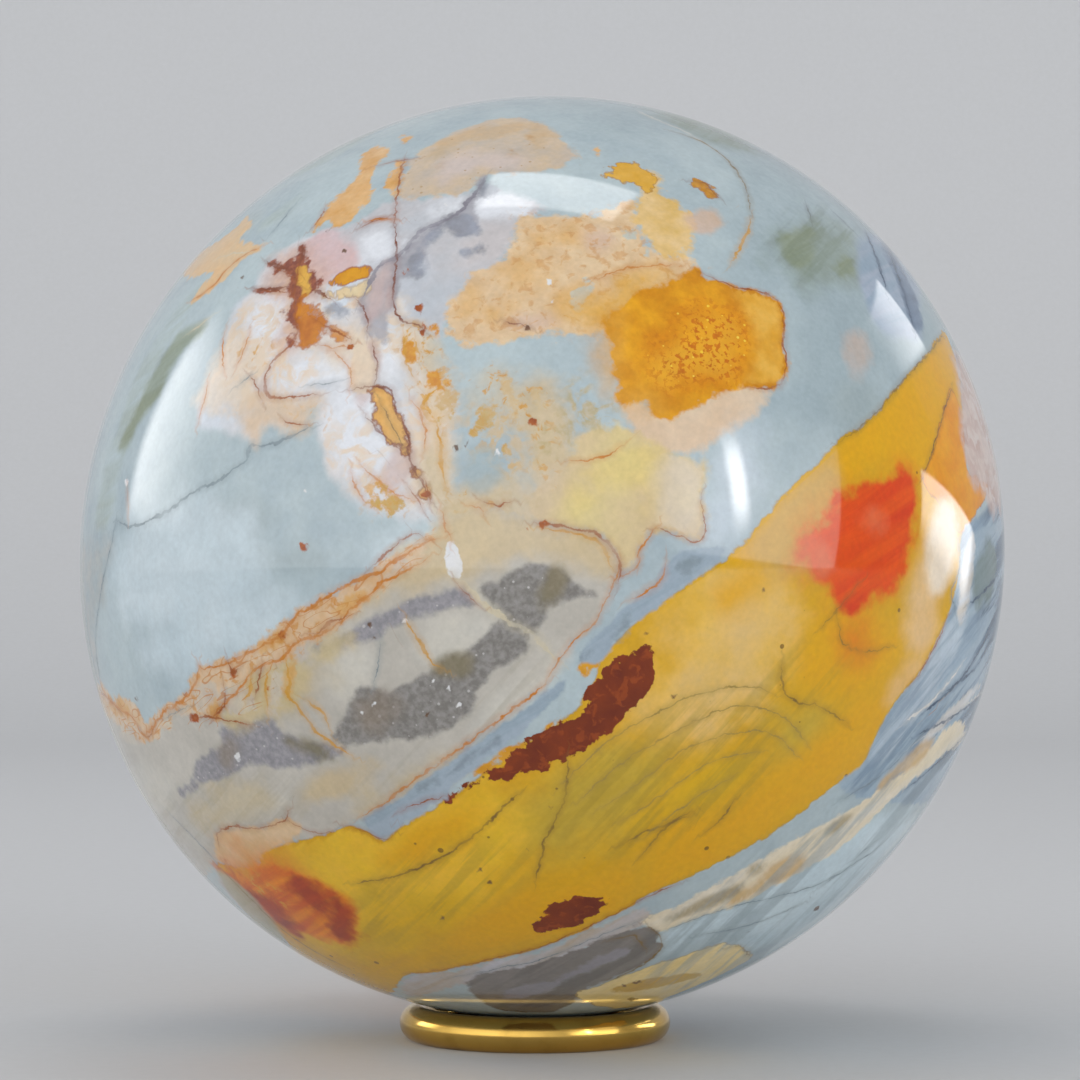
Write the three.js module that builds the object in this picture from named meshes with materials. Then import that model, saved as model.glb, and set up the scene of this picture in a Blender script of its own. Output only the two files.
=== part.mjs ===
// A polished jasper ball resting in a solid brass ring.
// Millimetres, +Z up. The ring stands on the plane Z = 0 with its centre at the origin.

import * as THREE from "three";

// The ball is ground by hand and stays a little out of round: it is longest along
// one line, which leans up from +X in the XZ plane, and round about that line.
const ballLength = 151.2;
const ballWidth = 148.8;
const ballLeanDegrees = 41.8;

// The ring is one round brass bar, bent and brazed into a circle, then polished.
const ringOutsideDiameter = 44.2;
const barDiameter = 5.8;

// The underside of the ring is rubbed flat by this much, so that it stands still.
const footDepth = 0.2;

// The least space left between the ball and the ring.
const seatClearance = 0.3;

// How finely round shapes are cut into faces.
const ballSegments = 64;
const ballRings = 40;
const ringSegments = 96;
const barSegments = 20;

// The search for the seat tries this many directions and distances.
const seatDirections = 72;
const seatDistances = 120;

const halfLength = ballLength / 2;
const halfWidth = ballWidth / 2;
const lean = THREE.MathUtils.degToRad(ballLeanDegrees);
const barRadius = barDiameter / 2;
const barCircleRadius = ringOutsideDiameter / 2 - barRadius;
const barCentreHeight = barRadius - footDepth;

// Half of the ball's size straight up and down.
function halfHeight() {
  return Math.hypot(halfWidth * Math.cos(lean), halfLength * Math.sin(lean));
}

// The lowest point of a leaning ball isn't under its centre. The ball rests with that
// point on the ring's axis, so its centre stands this far towards +X.
function centreOffset() {
  const stretch = halfLength ** 2 - halfWidth ** 2;
  return stretch * Math.sin(lean) * Math.cos(lean) / halfHeight();
}

// Height of the ball's underside at a point of the XY plane, from the ball's centre.
function undersideAt(x, y) {
  const across = 1 / halfWidth ** 2;
  const along = 1 / halfLength ** 2 - across;
  const a = across + along * Math.sin(lean) ** 2;
  const b = along * Math.sin(lean) * Math.cos(lean) * x;
  const c = across * (x * x + y * y) + along * (Math.cos(lean) * x) ** 2 - 1;
  return (-b - Math.sqrt(b * b - a * c)) / a;
}

// Height of the ball's centre when its nearest point is seatClearance from the bar.
function seatedHeight() {
  const reach = barRadius + seatClearance;
  let height = 0;
  for (let i = 0; i < seatDirections; i++) {
    const direction = 2 * Math.PI * i / seatDirections;
    for (let j = 0; j <= seatDistances; j++) {
      const inwards = reach * j / seatDistances;
      const distance = barCircleRadius - inwards;
      const x = distance * Math.cos(direction) - centreOffset();
      const y = distance * Math.sin(direction);
      const barTop = barCentreHeight + Math.sqrt(reach * reach - inwards * inwards);
      height = Math.max(height, barTop - undersideAt(x, y));
    }
  }
  return height;
}

// The outline of the bar cut across: a circle with its underside rubbed flat.
function barSection() {
  const footAngle = Math.acos(barCentreHeight / barRadius);
  const turn = 2 * (Math.PI - footAngle);
  const points = [];
  for (let i = 0; i <= barSegments; i++) {
    const angle = -Math.PI / 2 + footAngle + turn * i / barSegments;
    const x = barCircleRadius + barRadius * Math.cos(angle);
    const z = barCentreHeight + barRadius * Math.sin(angle);
    points.push(new THREE.Vector2(x, z));
  }
  points.push(points[0].clone());
  return points;
}

function jasperSphere() {
  const geometry = new THREE.SphereGeometry(1, ballSegments, ballRings);
  geometry.scale(halfWidth, halfLength, halfWidth);
  geometry.rotateZ(-Math.PI / 2);
  const material = new THREE.MeshStandardMaterial({ color: 0xc9a862, roughness: 0.06, metalness: 0 });
  const mesh = new THREE.Mesh(geometry, material);
  mesh.name = "jasper_sphere";
  mesh.rotation.y = -lean;
  mesh.position.set(centreOffset(), 0, seatedHeight());
  return mesh;
}

function brassRing() {
  const geometry = new THREE.LatheGeometry(barSection(), ringSegments);
  geometry.rotateX(Math.PI / 2);
  const material = new THREE.MeshStandardMaterial({ color: 0xd8a748, roughness: 0.14, metalness: 1 });
  const mesh = new THREE.Mesh(geometry, material);
  mesh.name = "brass_ring";
  return mesh;
}

const part = new THREE.Group();
part.add(brassRing());
part.add(jasperSphere());

export default part;
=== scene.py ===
# %% [markdown]
# # A polished jasper ball on a brass ring
# This notebook dresses two CAD pieces: a ball of many-coloured jasper, 150 mm across, and the
# brass ring that it rests in. The shapes are simple and exact, so nearly all the work is in the
# stone. Jasper is mud that turned to stone in layers, cracked, and was healed by iron-stained
# quartz, so its picture is made of patches with crisp or cloudy edges and of thin veins.
# Each patch is an outline laid on the ball, each vein is a line with a width, and the shader
# gives them ragged edges, mottling and grain that no outline could hold.

import math

import bpy
import numpy as np
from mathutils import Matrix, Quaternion, Vector


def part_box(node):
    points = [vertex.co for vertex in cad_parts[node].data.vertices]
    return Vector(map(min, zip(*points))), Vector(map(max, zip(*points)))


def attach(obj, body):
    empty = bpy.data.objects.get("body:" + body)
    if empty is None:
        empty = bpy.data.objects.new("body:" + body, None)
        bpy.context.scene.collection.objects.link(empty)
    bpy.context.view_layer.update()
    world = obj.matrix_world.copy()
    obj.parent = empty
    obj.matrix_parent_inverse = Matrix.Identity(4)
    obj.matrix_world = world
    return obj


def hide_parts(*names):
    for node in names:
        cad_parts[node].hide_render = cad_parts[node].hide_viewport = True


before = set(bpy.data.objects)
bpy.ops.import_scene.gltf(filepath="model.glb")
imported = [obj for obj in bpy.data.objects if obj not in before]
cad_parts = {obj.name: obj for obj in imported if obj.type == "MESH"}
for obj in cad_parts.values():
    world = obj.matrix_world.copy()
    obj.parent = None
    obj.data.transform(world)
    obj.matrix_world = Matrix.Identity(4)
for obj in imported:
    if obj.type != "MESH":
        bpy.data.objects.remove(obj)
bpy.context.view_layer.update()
scene = bpy.context.scene
millimetre = 0.001

# %% [markdown]
# ## The ball's exact shape
# A ball ground by hand stays a little long in one direction. Its CAD box is enough to work the
# ellipsoid out again: the half size across the view is its half width, and the other two half
# sizes hold the half length and the lean of the long axis.

# %% Work the ellipsoid out from its box
ball_low, ball_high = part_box("jasper_sphere")
ball_centre = (ball_low + ball_high) / 2
half_x, half_width, half_z = (ball_high - ball_low) / 2
half_length = math.sqrt(half_x**2 + half_z**2 - half_width**2)
lean_cosine = math.sqrt((half_x**2 - half_width**2) / (half_length**2 - half_width**2))
lean = math.acos(lean_cosine)
long_axis = Vector((math.cos(lean), 0, math.sin(lean)))
print("half length, half width, lean:",
      round(half_length, 5), round(half_width, 5), round(math.degrees(lean), 2))

# %% [markdown]
# ## The camera
# The picture is 1080 pixels square. The camera stands level with the ball's centre, 640 mm away,
# with a long lens, so the ball shows almost all of its front half. The small shift puts the
# ball's centre where the picture has it, without tilting the view.

# %% Make the camera
frame_pixels = 1080
centre_pixel = (542.2, 557.7)
focal_pixels = 3917
camera_distance = 0.640
sensor_width = 36.0

camera_data = bpy.data.cameras.new("camera")
camera_data.sensor_width = sensor_width
camera_data.lens = focal_pixels / frame_pixels * sensor_width
camera_data.shift_x = (frame_pixels / 2 - centre_pixel[0]) / frame_pixels
camera_data.shift_y = (centre_pixel[1] - frame_pixels / 2) / frame_pixels
camera = bpy.data.objects.new("camera", camera_data)
camera.location = ball_centre + Vector((0, -camera_distance, 0))
camera.rotation_euler = (math.radians(90), 0, 0)
scene.collection.objects.link(camera)
scene.camera = camera
print("lens in mm:", round(camera_data.lens, 1))

# %% [markdown]
# ## One helper for every node
# Shader trees and geometry trees are built the same way: a kind of node, its settings, and what
# goes into its sockets, which is either a value or another node.

# %% The node helper and the colour helper
def add(tree, kind, sockets=None, **settings):
    """Adds a node. A socket is given a value, an output, or a node, which stands for its first output."""
    node = tree.nodes.new(kind)
    for name, value in settings.items():
        setattr(node, name, value)
    for socket, value in (sockets or {}).items():
        if isinstance(value, bpy.types.Node):
            value = value.outputs[0]
        if isinstance(value, bpy.types.NodeSocket):
            tree.links.new(value, node.inputs[socket])
        else:
            node.inputs[socket].default_value = value
    return node


def linear(hex_colour):
    """The linear colour of an sRGB hex value."""
    channels = [int(hex_colour[i:i + 2], 16) / 255 for i in (1, 3, 5)]
    return tuple(c / 12.92 if c <= 0.04045 else ((c + 0.055) / 1.055)**2.4 for c in channels) + (1.0,)


def plain_mesh_from_tree(name, tree, values):
    """Evaluates a geometry tree once and keeps the result as an ordinary mesh object."""
    seed_object = bpy.data.objects.new(name + "_tree", bpy.data.meshes.new(name + "_tree"))
    scene.collection.objects.link(seed_object)
    modifier = seed_object.modifiers.new("tree", "NODES")
    modifier.node_group = tree
    for item in tree.interface.items_tree:
        if item.name in values:
            modifier[item.identifier] = values[item.name]
    bpy.context.view_layer.update()
    graph = bpy.context.evaluated_depsgraph_get()
    mesh = bpy.data.meshes.new_from_object(seed_object.evaluated_get(graph), depsgraph=graph)
    seed_object.modifiers.clear()
    bpy.data.objects.remove(seed_object)
    mesh.name = name
    mesh.calc_loop_triangles()
    piece = bpy.data.objects.new(name, mesh)
    scene.collection.objects.link(piece)
    print(name, "has", len(mesh.vertices), "points and", len(mesh.loop_triangles), "triangles")
    return piece


# %% [markdown]
# ## The ball's mesh
# A globe of rings and segments crowds its points at two poles, where a pattern would pinch. Here
# a square grid is folded round the ball like a napkin: its middle faces the viewer and its four
# corners meet behind. The fold keeps every square the same area, so the pattern is equally sharp
# everywhere, and the grid itself is a ready map for the stone's colours.

# %% Fold a square grid into the ball
def folded_ball_tree():
    tree = bpy.data.node_groups.new("folded_ball", "GeometryNodeTree")
    for name, kind in (("Half Length", "NodeSocketFloat"), ("Half Width", "NodeSocketFloat"),
                       ("Lean", "NodeSocketFloat"), ("Centre", "NodeSocketVector"),
                       ("Squares Across", "NodeSocketInt"), ("Stone", "NodeSocketMaterial")):
        tree.interface.new_socket(name, in_out="INPUT", socket_type=kind)
    tree.interface.new_socket("Geometry", in_out="OUTPUT", socket_type="NodeSocketGeometry")
    given = add(tree, "NodeGroupInput").outputs
    place = add(tree, "ShaderNodeSeparateXYZ", {0: add(tree, "GeometryNodeInputPosition")}).outputs
    value = {"squares": given["Squares Across"], "lean": given["Lean"], "u": place["X"], "v": place["Y"]}
    for name, operation, *inputs in (
            ("lines", "ADD", "squares", 1), ("turned up", "MULTIPLY", "lean", -1),
            ("size u", "ABSOLUTE", "u"), ("size v", "ABSOLUTE", "v"),
            ("side u", "SIGN", "u"), ("side v", "SIGN", "v"),
            ("past u", "SUBTRACT", 1, "size u"), ("inside", "SUBTRACT", "past u", "size v"),
            ("depth", "ABSOLUTE", "inside"), ("radius", "SUBTRACT", 1, "depth"),
            ("apart", "SUBTRACT", "size v", "size u"), ("share", "DIVIDE", "apart", "radius"),
            ("from start", "ADD", "share", 1), ("turn", "MULTIPLY", "from start", math.pi / 4),
            ("square", "MULTIPLY", "radius", "radius"), ("left over", "SUBTRACT", 2, "square"),
            ("root", "SQRT", "left over"), ("reach", "MULTIPLY", "radius", "root"),
            ("cosine", "COSINE", "turn"), ("way x", "MULTIPLY", "side u", "cosine"),
            ("x", "MULTIPLY", "way x", "reach"),
            ("sine", "SINE", "turn"), ("way y", "MULTIPLY", "side v", "sine"),
            ("y", "MULTIPLY", "way y", "reach"),
            ("face", "SIGN", "inside"), ("height", "SUBTRACT", 1, "square"),
            ("z", "MULTIPLY", "face", "height")):
        sockets = {i: value.get(item, item) for i, item in enumerate(inputs)}
        value[name] = add(tree, "ShaderNodeMath", sockets, operation=operation)
    grid = add(tree, "GeometryNodeMeshGrid",
               {"Size X": 2, "Size Y": 2, "Vertices X": value["lines"], "Vertices Y": value["lines"]})
    mapped = add(tree, "GeometryNodeStoreNamedAttribute",
                 {"Geometry": grid, "Name": "OFBake", "Value": grid.outputs["UV Map"]},
                 data_type="FLOAT2", domain="CORNER")
    on_ball = add(tree, "ShaderNodeCombineXYZ", {0: value["x"], 1: value["y"], 2: value["z"]})
    folded = add(tree, "GeometryNodeSetPosition", {"Geometry": mapped, "Position": on_ball})
    closed = add(tree, "GeometryNodeMergeByDistance", {"Geometry": folded, "Distance": 1e-5})
    sizes = add(tree, "ShaderNodeCombineXYZ",
                {0: given["Half Length"], 1: given["Half Width"], 2: given["Half Width"]})
    turns = add(tree, "ShaderNodeCombineXYZ", {0: math.pi / 2, 1: value["turned up"]})
    set_down = add(tree, "GeometryNodeTransform", {"Geometry": closed, "Translation": given["Centre"],
                                                   "Rotation": turns, "Scale": sizes})
    smooth = add(tree, "GeometryNodeSetShadeSmooth", {"Geometry": set_down})
    real = add(tree, "GeometryNodeRealizeInstances", {"Geometry": smooth})
    stone = add(tree, "GeometryNodeSetMaterial", {"Geometry": real, "Material": given["Stone"]})
    add(tree, "NodeGroupOutput", {0: stone})
    return tree


jasper = bpy.data.materials.new("polished_polychrome_jasper")
ball = plain_mesh_from_tree("jasper_ball", folded_ball_tree(), {
    "Half Length": half_length, "Half Width": half_width, "Lean": lean,
    "Centre": ball_centre, "Squares Across": 310, "Stone": jasper})

# %% [markdown]
# ## Laying drawings on the ball
# Outlines are written as pixels of the 1080 pixel picture. A ray from the camera through a pixel
# meets the ball at one point, which is kept as a direction from its centre. Beds run straight
# through a stone, so the far side takes the drawings of the front again, mirrored, turned by a
# third of a circle and bent. Each layer changes over on a wavy line of its own behind the ball's
# outline, so no seam shows.

# %% From pixels to directions
to_unit = np.eye(3) / half_width + (1 / half_length - 1 / half_width) * np.outer(long_axis, long_axis)


def on_ball(pixels):
    """Directions from the ball's centre for pixels of the picture."""
    pixels = np.asarray(pixels, float)
    across = (pixels[:, 0] - centre_pixel[0]) / focal_pixels
    down = (pixels[:, 1] - centre_pixel[1]) / focal_pixels
    rays = np.stack([across, np.ones(len(pixels)), -down], 1) @ to_unit.T
    rays /= np.linalg.norm(rays, axis=1, keepdims=True)
    eye = to_unit @ np.array((0, -camera_distance, 0))
    nearest = eye + rays * (-(rays @ eye))[:, None]
    miss = np.linalg.norm(nearest, axis=1)
    folded = np.where(miss > 1, 2 - miss, miss)
    depth = np.sqrt(np.clip(1 - folded**2, 0, 1)) * np.where(miss > 1, 1, -1)
    return nearest / miss[:, None] * folded[:, None] + rays * depth[:, None]


def rounded(points, closed, steps=5):
    """Adds points between the given ones, along a smooth curve through all of them."""
    points = np.asarray(points, float)
    ends = (points[-1:], points[:2]) if closed else (points[:1], points[-1:])
    padded = np.concatenate([ends[0], points, ends[1]])
    t = (np.arange(steps) / steps)[:, None]
    spans = []
    for i in range(len(padded) - 3):
        a, b, c, d = padded[i:i + 4]
        spans.append(0.5 * (2 * b + (c - a) * t + (2 * a - 5 * b + 4 * c - d) * t**2
                            + (3 * b - a - 3 * c + d) * t**3))
    if not closed:
        spans.append(points[-1:])
    return np.concatenate(spans)


def oval(x, y, across, along, tilt=0):
    """Eight points round an oval: its middle, its two half sizes and its tilt, up to the right."""
    turn = math.radians(tilt)
    angles = np.arange(8) * math.pi / 4
    u = across * np.cos(angles)
    v = along * np.sin(angles)
    return np.stack([x + u * math.cos(turn) - v * math.sin(turn),
                     y - u * math.sin(turn) - v * math.cos(turn)], 1)


# %% Measure the ball's points against drawings
spots = np.empty(len(ball.data.vertices) * 3, np.float32)
ball.data.vertices.foreach_get("co", spots)
spots = (spots.reshape(-1, 3) - np.array(ball_centre)) @ to_unit.T
spots /= np.linalg.norm(spots, axis=1, keepdims=True)
ball_millimetres = (half_length + 2 * half_width) / 3 / millimetre
far_turn = math.radians(115)
far_bend = 0.10
bend_waves = (3.1, 2.7, 3.9)
bend_shifts = (0.4, 1.9, 2.6)


def on_front(directions):
    """For directions on the far side, the directions on the front whose drawings they take."""
    x, y, z = directions.T
    twins = np.stack([x * math.cos(far_turn) - z * math.sin(far_turn), -y,
                      x * math.sin(far_turn) + z * math.cos(far_turn)], 1)
    twins += far_bend * np.sin(twins[:, [2, 0, 1]] * bend_waves + bend_shifts)
    return twins / np.linalg.norm(twins, axis=1, keepdims=True)


far_spots = on_front(spots)
round_view = np.arctan2(spots[:, 2], spots[:, 0])
outline_angle = math.acos(half_width / camera_distance)
past_outline = (np.arccos(np.clip(-spots[:, 1], -1, 1)) - outline_angle) * ball_millimetres
fray_middle = 24
fray_waves = ((10, 5, 2.4), (4, 11, 1.3), (2, 23, 3.1))
fray_slope = 0.4


def room_on_front(number):
    """Room left before a layer's far drawing takes over, along a wavy line of its own.

    It falls slowly behind the ball's outline, so that a layer frays out over some millimetres.
    """
    line = fray_middle
    for height, waves, shift in fray_waves:
        line = line + height * np.sin(waves * round_view + shift * number)
    return fray_slope * (line - past_outline) + (1 - fray_slope) * np.clip(-past_outline, 0, None)


def flattened(directions, middle):
    """A map of directions as seen from a middle one, with its scale at each."""
    askew = (0.13, 0.21, 0.97)
    side = np.cross(middle, askew)
    side /= np.linalg.norm(side)
    up = np.cross(side, middle)
    scale = 2 / (1.0001 + directions @ middle)
    return np.stack([directions @ side, directions @ up], 1) * scale[:, None], scale


def nearest_segment(chart, starts, ends):
    """For each point: distance to the nearest segment, the side it is on, and how far along it is."""
    best = np.full(len(chart), np.inf)
    side = np.zeros(len(chart))
    along = np.zeros(len(chart))
    for i in range(len(starts)):
        run = ends[i] - starts[i]
        gap = chart - starts[i]
        share = np.clip((gap @ run) / max(run @ run, 1e-12), 0, 1)
        off = gap - share[:, None] * run
        distance = off[:, 0]**2 + off[:, 1]**2
        closer = distance < best
        best[closer] = distance[closer]
        side[closer] = np.sign(run[0] * gap[closer, 1] - run[1] * gap[closer, 0])
        along[closer] = i + share[closer]
    return np.sqrt(best), side, along


def depth_inside(outline, directions, reach):
    """Millimetres that each direction lies inside an outline, down to -reach outside."""
    middle = outline.mean(0)
    middle /= np.linalg.norm(middle)
    limit = min(math.acos(np.clip((outline @ middle).min(), -1, 1)) + reach / ball_millimetres, 3.0)
    depth = np.full(len(directions), -reach, np.float32)
    near = np.nonzero(directions @ middle > math.cos(limit))[0]
    chart, scale = flattened(directions[near], middle)
    ring, _ = flattened(outline, middle)
    after = np.roll(ring, -1, 0)
    distance, _, _ = nearest_segment(chart, ring, after)
    crossings = np.zeros(len(near), int)
    for (x0, y0), (x1, y1) in zip(ring, after):
        straddles = (y0 > chart[:, 1]) != (y1 > chart[:, 1])
        slope = (x1 - x0) / (y1 - y0) if y1 != y0 else 0
        crossings += straddles & (chart[:, 0] < x0 + (chart[:, 1] - y0) * slope)
    sign = np.where(crossings % 2 == 1, 1, -1)
    depth[near] = np.maximum(sign * distance / scale * ball_millimetres, -reach)
    return depth


def store(name, values):
    """Keeps three numbers for each point of the ball's mesh."""
    attribute = ball.data.attributes.new(name, "FLOAT_VECTOR", "POINT")
    attribute.data.foreach_set("vector", np.ascontiguousarray(values, np.float32).ravel())


# %% [markdown]
# ## Patches and veins
# A patch is one layer of paint: its outlines, two colours that its texture mixes, how ragged and
# how soft its edge is in millimetres, and how strongly it covers what is below. It may also have
# a rim with a colour, a width and a strength, a mask that breaks it up, and an earlier layer that
# it stays within. Layers are kept in the order in which they are painted. A vein is an open line
# with a tone and a width in millimetres. Both are only collected here, and measured and painted
# further down.

# %% Collect the layers
layers = []
veins = []


def patch(name, outlines, colours, texture, ragged, soft, strength=1.0, rim=None, mask=None, within=None):
    layers.append({"name": name, "outlines": outlines, "colours": colours, "texture": texture,
                   "ragged": ragged, "soft": soft, "strength": strength, "rim": rim, "mask": mask,
                   "within": within})


def vein(tone, width, *lines):
    for line in lines:
        veins.append({"tone": tone, "width": width, "line": line})


# %% [markdown]
# ## The pale blue-grey stone and its olive smudges
# The ground of the stone is pale blue-grey. Its upper right is greyer, and clay left soft olive
# smudges in it, which have no edge at all.

# %% Olive and slate shades
slate_top = [
    (560, 85), (700, 95), (820, 150), (930, 260), (960, 330), (900, 380), (850, 430), (790, 470), (800, 380),
    (790, 290), (740, 270), (760, 200), (700, 140), (610, 130)]
olive_band = [
    (200, 322), (182, 332), (166, 352), (150, 380), (138, 405), (126, 428), (118, 452), (128, 448),
    (140, 422), (152, 405), (162, 385), (176, 362), (190, 345), (204, 330)]
limb_streaks = [
    (96, 520), (104, 470), (118, 425), (136, 380), (158, 335), (185, 300), (214, 268), (222, 274), (192, 310),
    (166, 348), (146, 392), (130, 436), (118, 480), (108, 522)]
navy_wedge = [
    (882, 242), (890, 245), (904, 272), (917, 300), (922, 326), (914, 331), (905, 306), (896, 280),
    (886, 258)]
lilac_blue = [(858, 240), (890, 238), (915, 275), (922, 330), (905, 340), (880, 330), (862, 290)]
patch("slate", [slate_top], ("#92a3ab", "#a4b5bb"), "cloud", 4, 22, 0.8)
patch("limb_streaks", [limb_streaks, oval(282, 212, 30, 5, 40), oval(335, 152, 50, 5, 30)],
      ("#a3b0a8", "#b2c2c6"), "flow", 1.5, 3, 0.8)
patch("olive_smudge", [oval(822, 256, 42, 34, -20), oval(700, 124, 52, 12, -24)], ("#84907f", "#8c9a90"),
      "flow", 3, 9, 0.8)
patch("olive_core", [oval(800, 246, 17, 20, -20), olive_band, oval(846, 268, 12, 10)],
      ("#7d8663", "#909c88"), "flow", 1.5, 2.5, 0.8)
patch("olive_streaks", [oval(816, 246, 46, 40, -30), oval(700, 118, 60, 14, -24)], ("#6d7a62", "#7b887a"),
      "flow", 3, 8, 0.35, mask="streaks")
patch("lilac_blue", [lilac_blue], ("#a4afc4", "#8aa0b6"), "flow", 1, 2.5, 0.8)
patch("navy_wedge", [navy_wedge], ("#5b6e86", "#7688a0"), "flow", 0.8, 1.4, 0.85)
patch("peach_smudge", [oval(858, 356, 12, 24)], ("#cbb19d", "#b9b1ac"), "mottle", 2, 3, 0.7)
patch("grey_smudge", [oval(860, 410, 26, 30), oval(250, 222, 14, 6, 45), oval(240, 520, 34, 24),
      oval(262, 560, 60, 14)], ("#97a5a8", "#a9b5b4"), "cloud", 2, 5, 0.55)
patch("pale_ground_blue", [oval(190, 570, 80, 70), oval(220, 630, 80, 40, 20), oval(420, 560, 40, 24)],
      ("#cddae0", "#c2d2d9"), "cloud", 3, 9, 0.85)

# %% [markdown]
# ## The milky zone
# Round the cracks at the left, the stone is bleached to milky white and lilac, and iron has left
# cream and peach wisps in the white.

# %% Milky, lilac and cream patches
milky_zone = [
    (300, 240), (270, 262), (252, 288), (236, 305), (222, 350), (208, 385), (196, 425), (207, 434),
    (235, 437), (244, 442), (258, 440), (262, 424), (290, 424), (312, 404), (320, 420), (322, 450),
    (330, 470), (345, 482), (350, 497), (372, 512), (400, 518), (432, 522), (448, 510), (452, 480),
    (456, 440), (455, 400), (448, 385), (425, 362), (420, 330), (425, 300), (440, 262), (400, 235),
    (372, 232), (340, 232)]
upper_lilac = [
    (300, 262), (312, 238), (345, 226), (380, 206), (398, 200), (430, 198), (470, 190), (520, 198),
    (545, 210), (520, 222), (507, 253), (495, 270), (470, 280), (455, 305), (440, 335), (415, 330),
    (400, 300), (372, 290), (340, 268)]
cream_top = [
    (398, 196), (402, 182), (413, 158), (440, 141), (468, 127), (500, 119), (538, 122), (562, 140),
    (578, 158), (545, 172), (500, 174), (480, 178), (468, 192), (440, 196)]
lilac_streak = [
    (489, 178), (480, 178), (471, 196), (449, 216), (422, 230), (408, 247), (385, 262), (372, 280),
    (358, 300), (366, 330), (384, 345), (390, 322), (396, 300), (400, 278), (420, 278), (424, 255),
    (440, 228), (452, 232), (476, 236), (480, 222), (476, 205)]
yellow_lens = [
    (320, 283), (334, 280), (340, 273), (354, 267), (368, 265), (372, 273), (360, 279), (337, 286)]
cream_lens = [(318, 293), (345, 288), (368, 280), (372, 286), (361, 297), (340, 299), (325, 298)]
orange_top = [
    (362, 165), (366, 152), (378, 146), (388, 153), (376, 164), (374, 185), (368, 200), (360, 210),
    (353, 222), (340, 226), (328, 222), (318, 230), (312, 232), (324, 214), (330, 204), (345, 190),
    (356, 178)]
tan_strip = [(398, 160), (406, 166), (400, 182), (398, 196), (391, 196), (390, 182), (393, 168)]
limb_peach = [
    (183, 278), (192, 260), (210, 246), (235, 228), (246, 218), (252, 226), (240, 240), (262, 246),
    (250, 256), (236, 266), (222, 282), (206, 294), (194, 302), (200, 288), (214, 272), (200, 276)]
tan_edge = [
    (243, 438), (240, 420), (252, 404), (264, 400), (300, 398), (318, 394), (322, 402), (308, 418),
    (300, 431), (288, 424), (262, 424), (258, 440)]
golden_slab = [
    (370, 388), (386, 387), (393, 398), (396, 412), (403, 424), (409, 440), (408, 456), (398, 448),
    (388, 438), (378, 426), (374, 410)]
cream_slab = [
    (346, 326), (360, 338), (372, 352), (376, 372), (373, 390), (352, 392), (350, 370), (354, 350)]
right_of_crack = [
    (398, 326), (412, 322), (432, 340), (446, 362), (456, 384), (452, 412), (446, 440), (436, 452),
    (424, 432), (418, 404), (410, 380), (402, 352)]
pink_bloom = [
    (310, 240), (330, 232), (348, 240), (357, 256), (350, 268), (334, 276), (318, 280), (308, 268)]
patch("milky", [milky_zone], ("#d2d8e0", "#dcd2cb"), "cloud", 1.5, 2.4, 0.95)
patch("upper_lilac", [upper_lilac], ("#bfc3ca", "#cbc4c4"), "cloud", 1.5, 1.8, 0.9)
patch("milky_white", [oval(360, 432, 26, 48, 20), oval(320, 372, 34, 16, 8), oval(392, 362, 10, 26),
      oval(480, 206, 50, 12, 5), oval(272, 325, 22, 34, -20), oval(380, 250, 18, 16)],
      ("#e6e9ee", "#dfe2e8"), "mottle", 3, 4, 0.95)
patch("peach_wisps", [oval(262, 356, 50, 58, -30), oval(350, 470, 36, 44, -30), oval(378, 322, 30, 30),
      oval(330, 300, 60, 30), oval(430, 440, 30, 60)], ("#e8d2b4", "#dcc0a0"), "grain", 3, 6, 0.75,
      mask="wisps", within="milky")
patch("peach_cloud", [oval(232, 372, 26, 40, -25), oval(430, 470, 24, 46, -10), oval(348, 345, 26, 22)],
      ("#e4d3bc", "#dccab4"), "mottle", 3, 4, 0.7)
patch("gold_specks", [oval(250, 348, 18, 16), oval(384, 496, 30, 20, -20), oval(300, 414, 26, 14)],
      ("#cf9a48", "#d9a860"), "grain", 2, 3, 0.8, mask="sparse")
patch("gold_veil", [right_of_crack], ("#e0c9a4", "#d9b986"), "mottle", 2, 4, 0.6)
patch("gold_branches", [right_of_crack], ("#c98f2c", "#d6a550"), "grain", 1.6, 3, 0.9, mask="sparse")
patch("pink_bloom", [pink_bloom, oval(452, 184, 12, 5, 15)], ("#dcc3c6", "#d2aaa6"), "mottle", 1.5, 2,
      0.8)
patch("cream_top", [cream_top], ("#c6b8a9", "#d0b898"), "mottle", 1.2, 1.2, 0.97)
patch("cream_top_gold", [oval(498, 130, 34, 6, 8), oval(534, 136, 14, 14), oval(440, 150, 22, 6, 30)],
      ("#c9ab7c", "#cda672"), "mottle", 2.4, 3, 0.6)
patch("cream_top_stain", [oval(528, 141, 9, 8, 30), oval(512, 152, 5, 4), oval(440, 168, 6, 4)],
      ("#bd8840", "#c69a5c"), "grain", 2.4, 2, 0.8)
patch("cream_top_pink", [oval(455, 168, 26, 10, 20), oval(500, 160, 20, 6)], ("#d4c6c0", "#cfc0bb"),
      "mottle", 3, 5, 0.8)
patch("cream_top_flecks", [cream_top], ("#b8935c", "#a8845c"), "grain", 1, 3, 0.6, mask="specks")
patch("orange_top", [orange_top, tan_strip, oval(598, 152, 7, 5), oval(404, 139, 5, 4)],
      ("#dba04a", "#e2b67c"), "mottle", 1.2, 0.9, 0.95)
patch("tan_edge", [tan_edge], ("#dac2a6", "#d6b894"), "mottle", 2.6, 3.5, 0.85)
patch("limb_peach", [limb_peach], ("#e0bf90", "#dfb277"), "mottle", 1.2, 1.0, 0.9)
patch("lilac_streak", [lilac_streak], ("#9d9ca3", "#aeadb6"), "cloud", 1.0, 1.4, 0.85)
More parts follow.
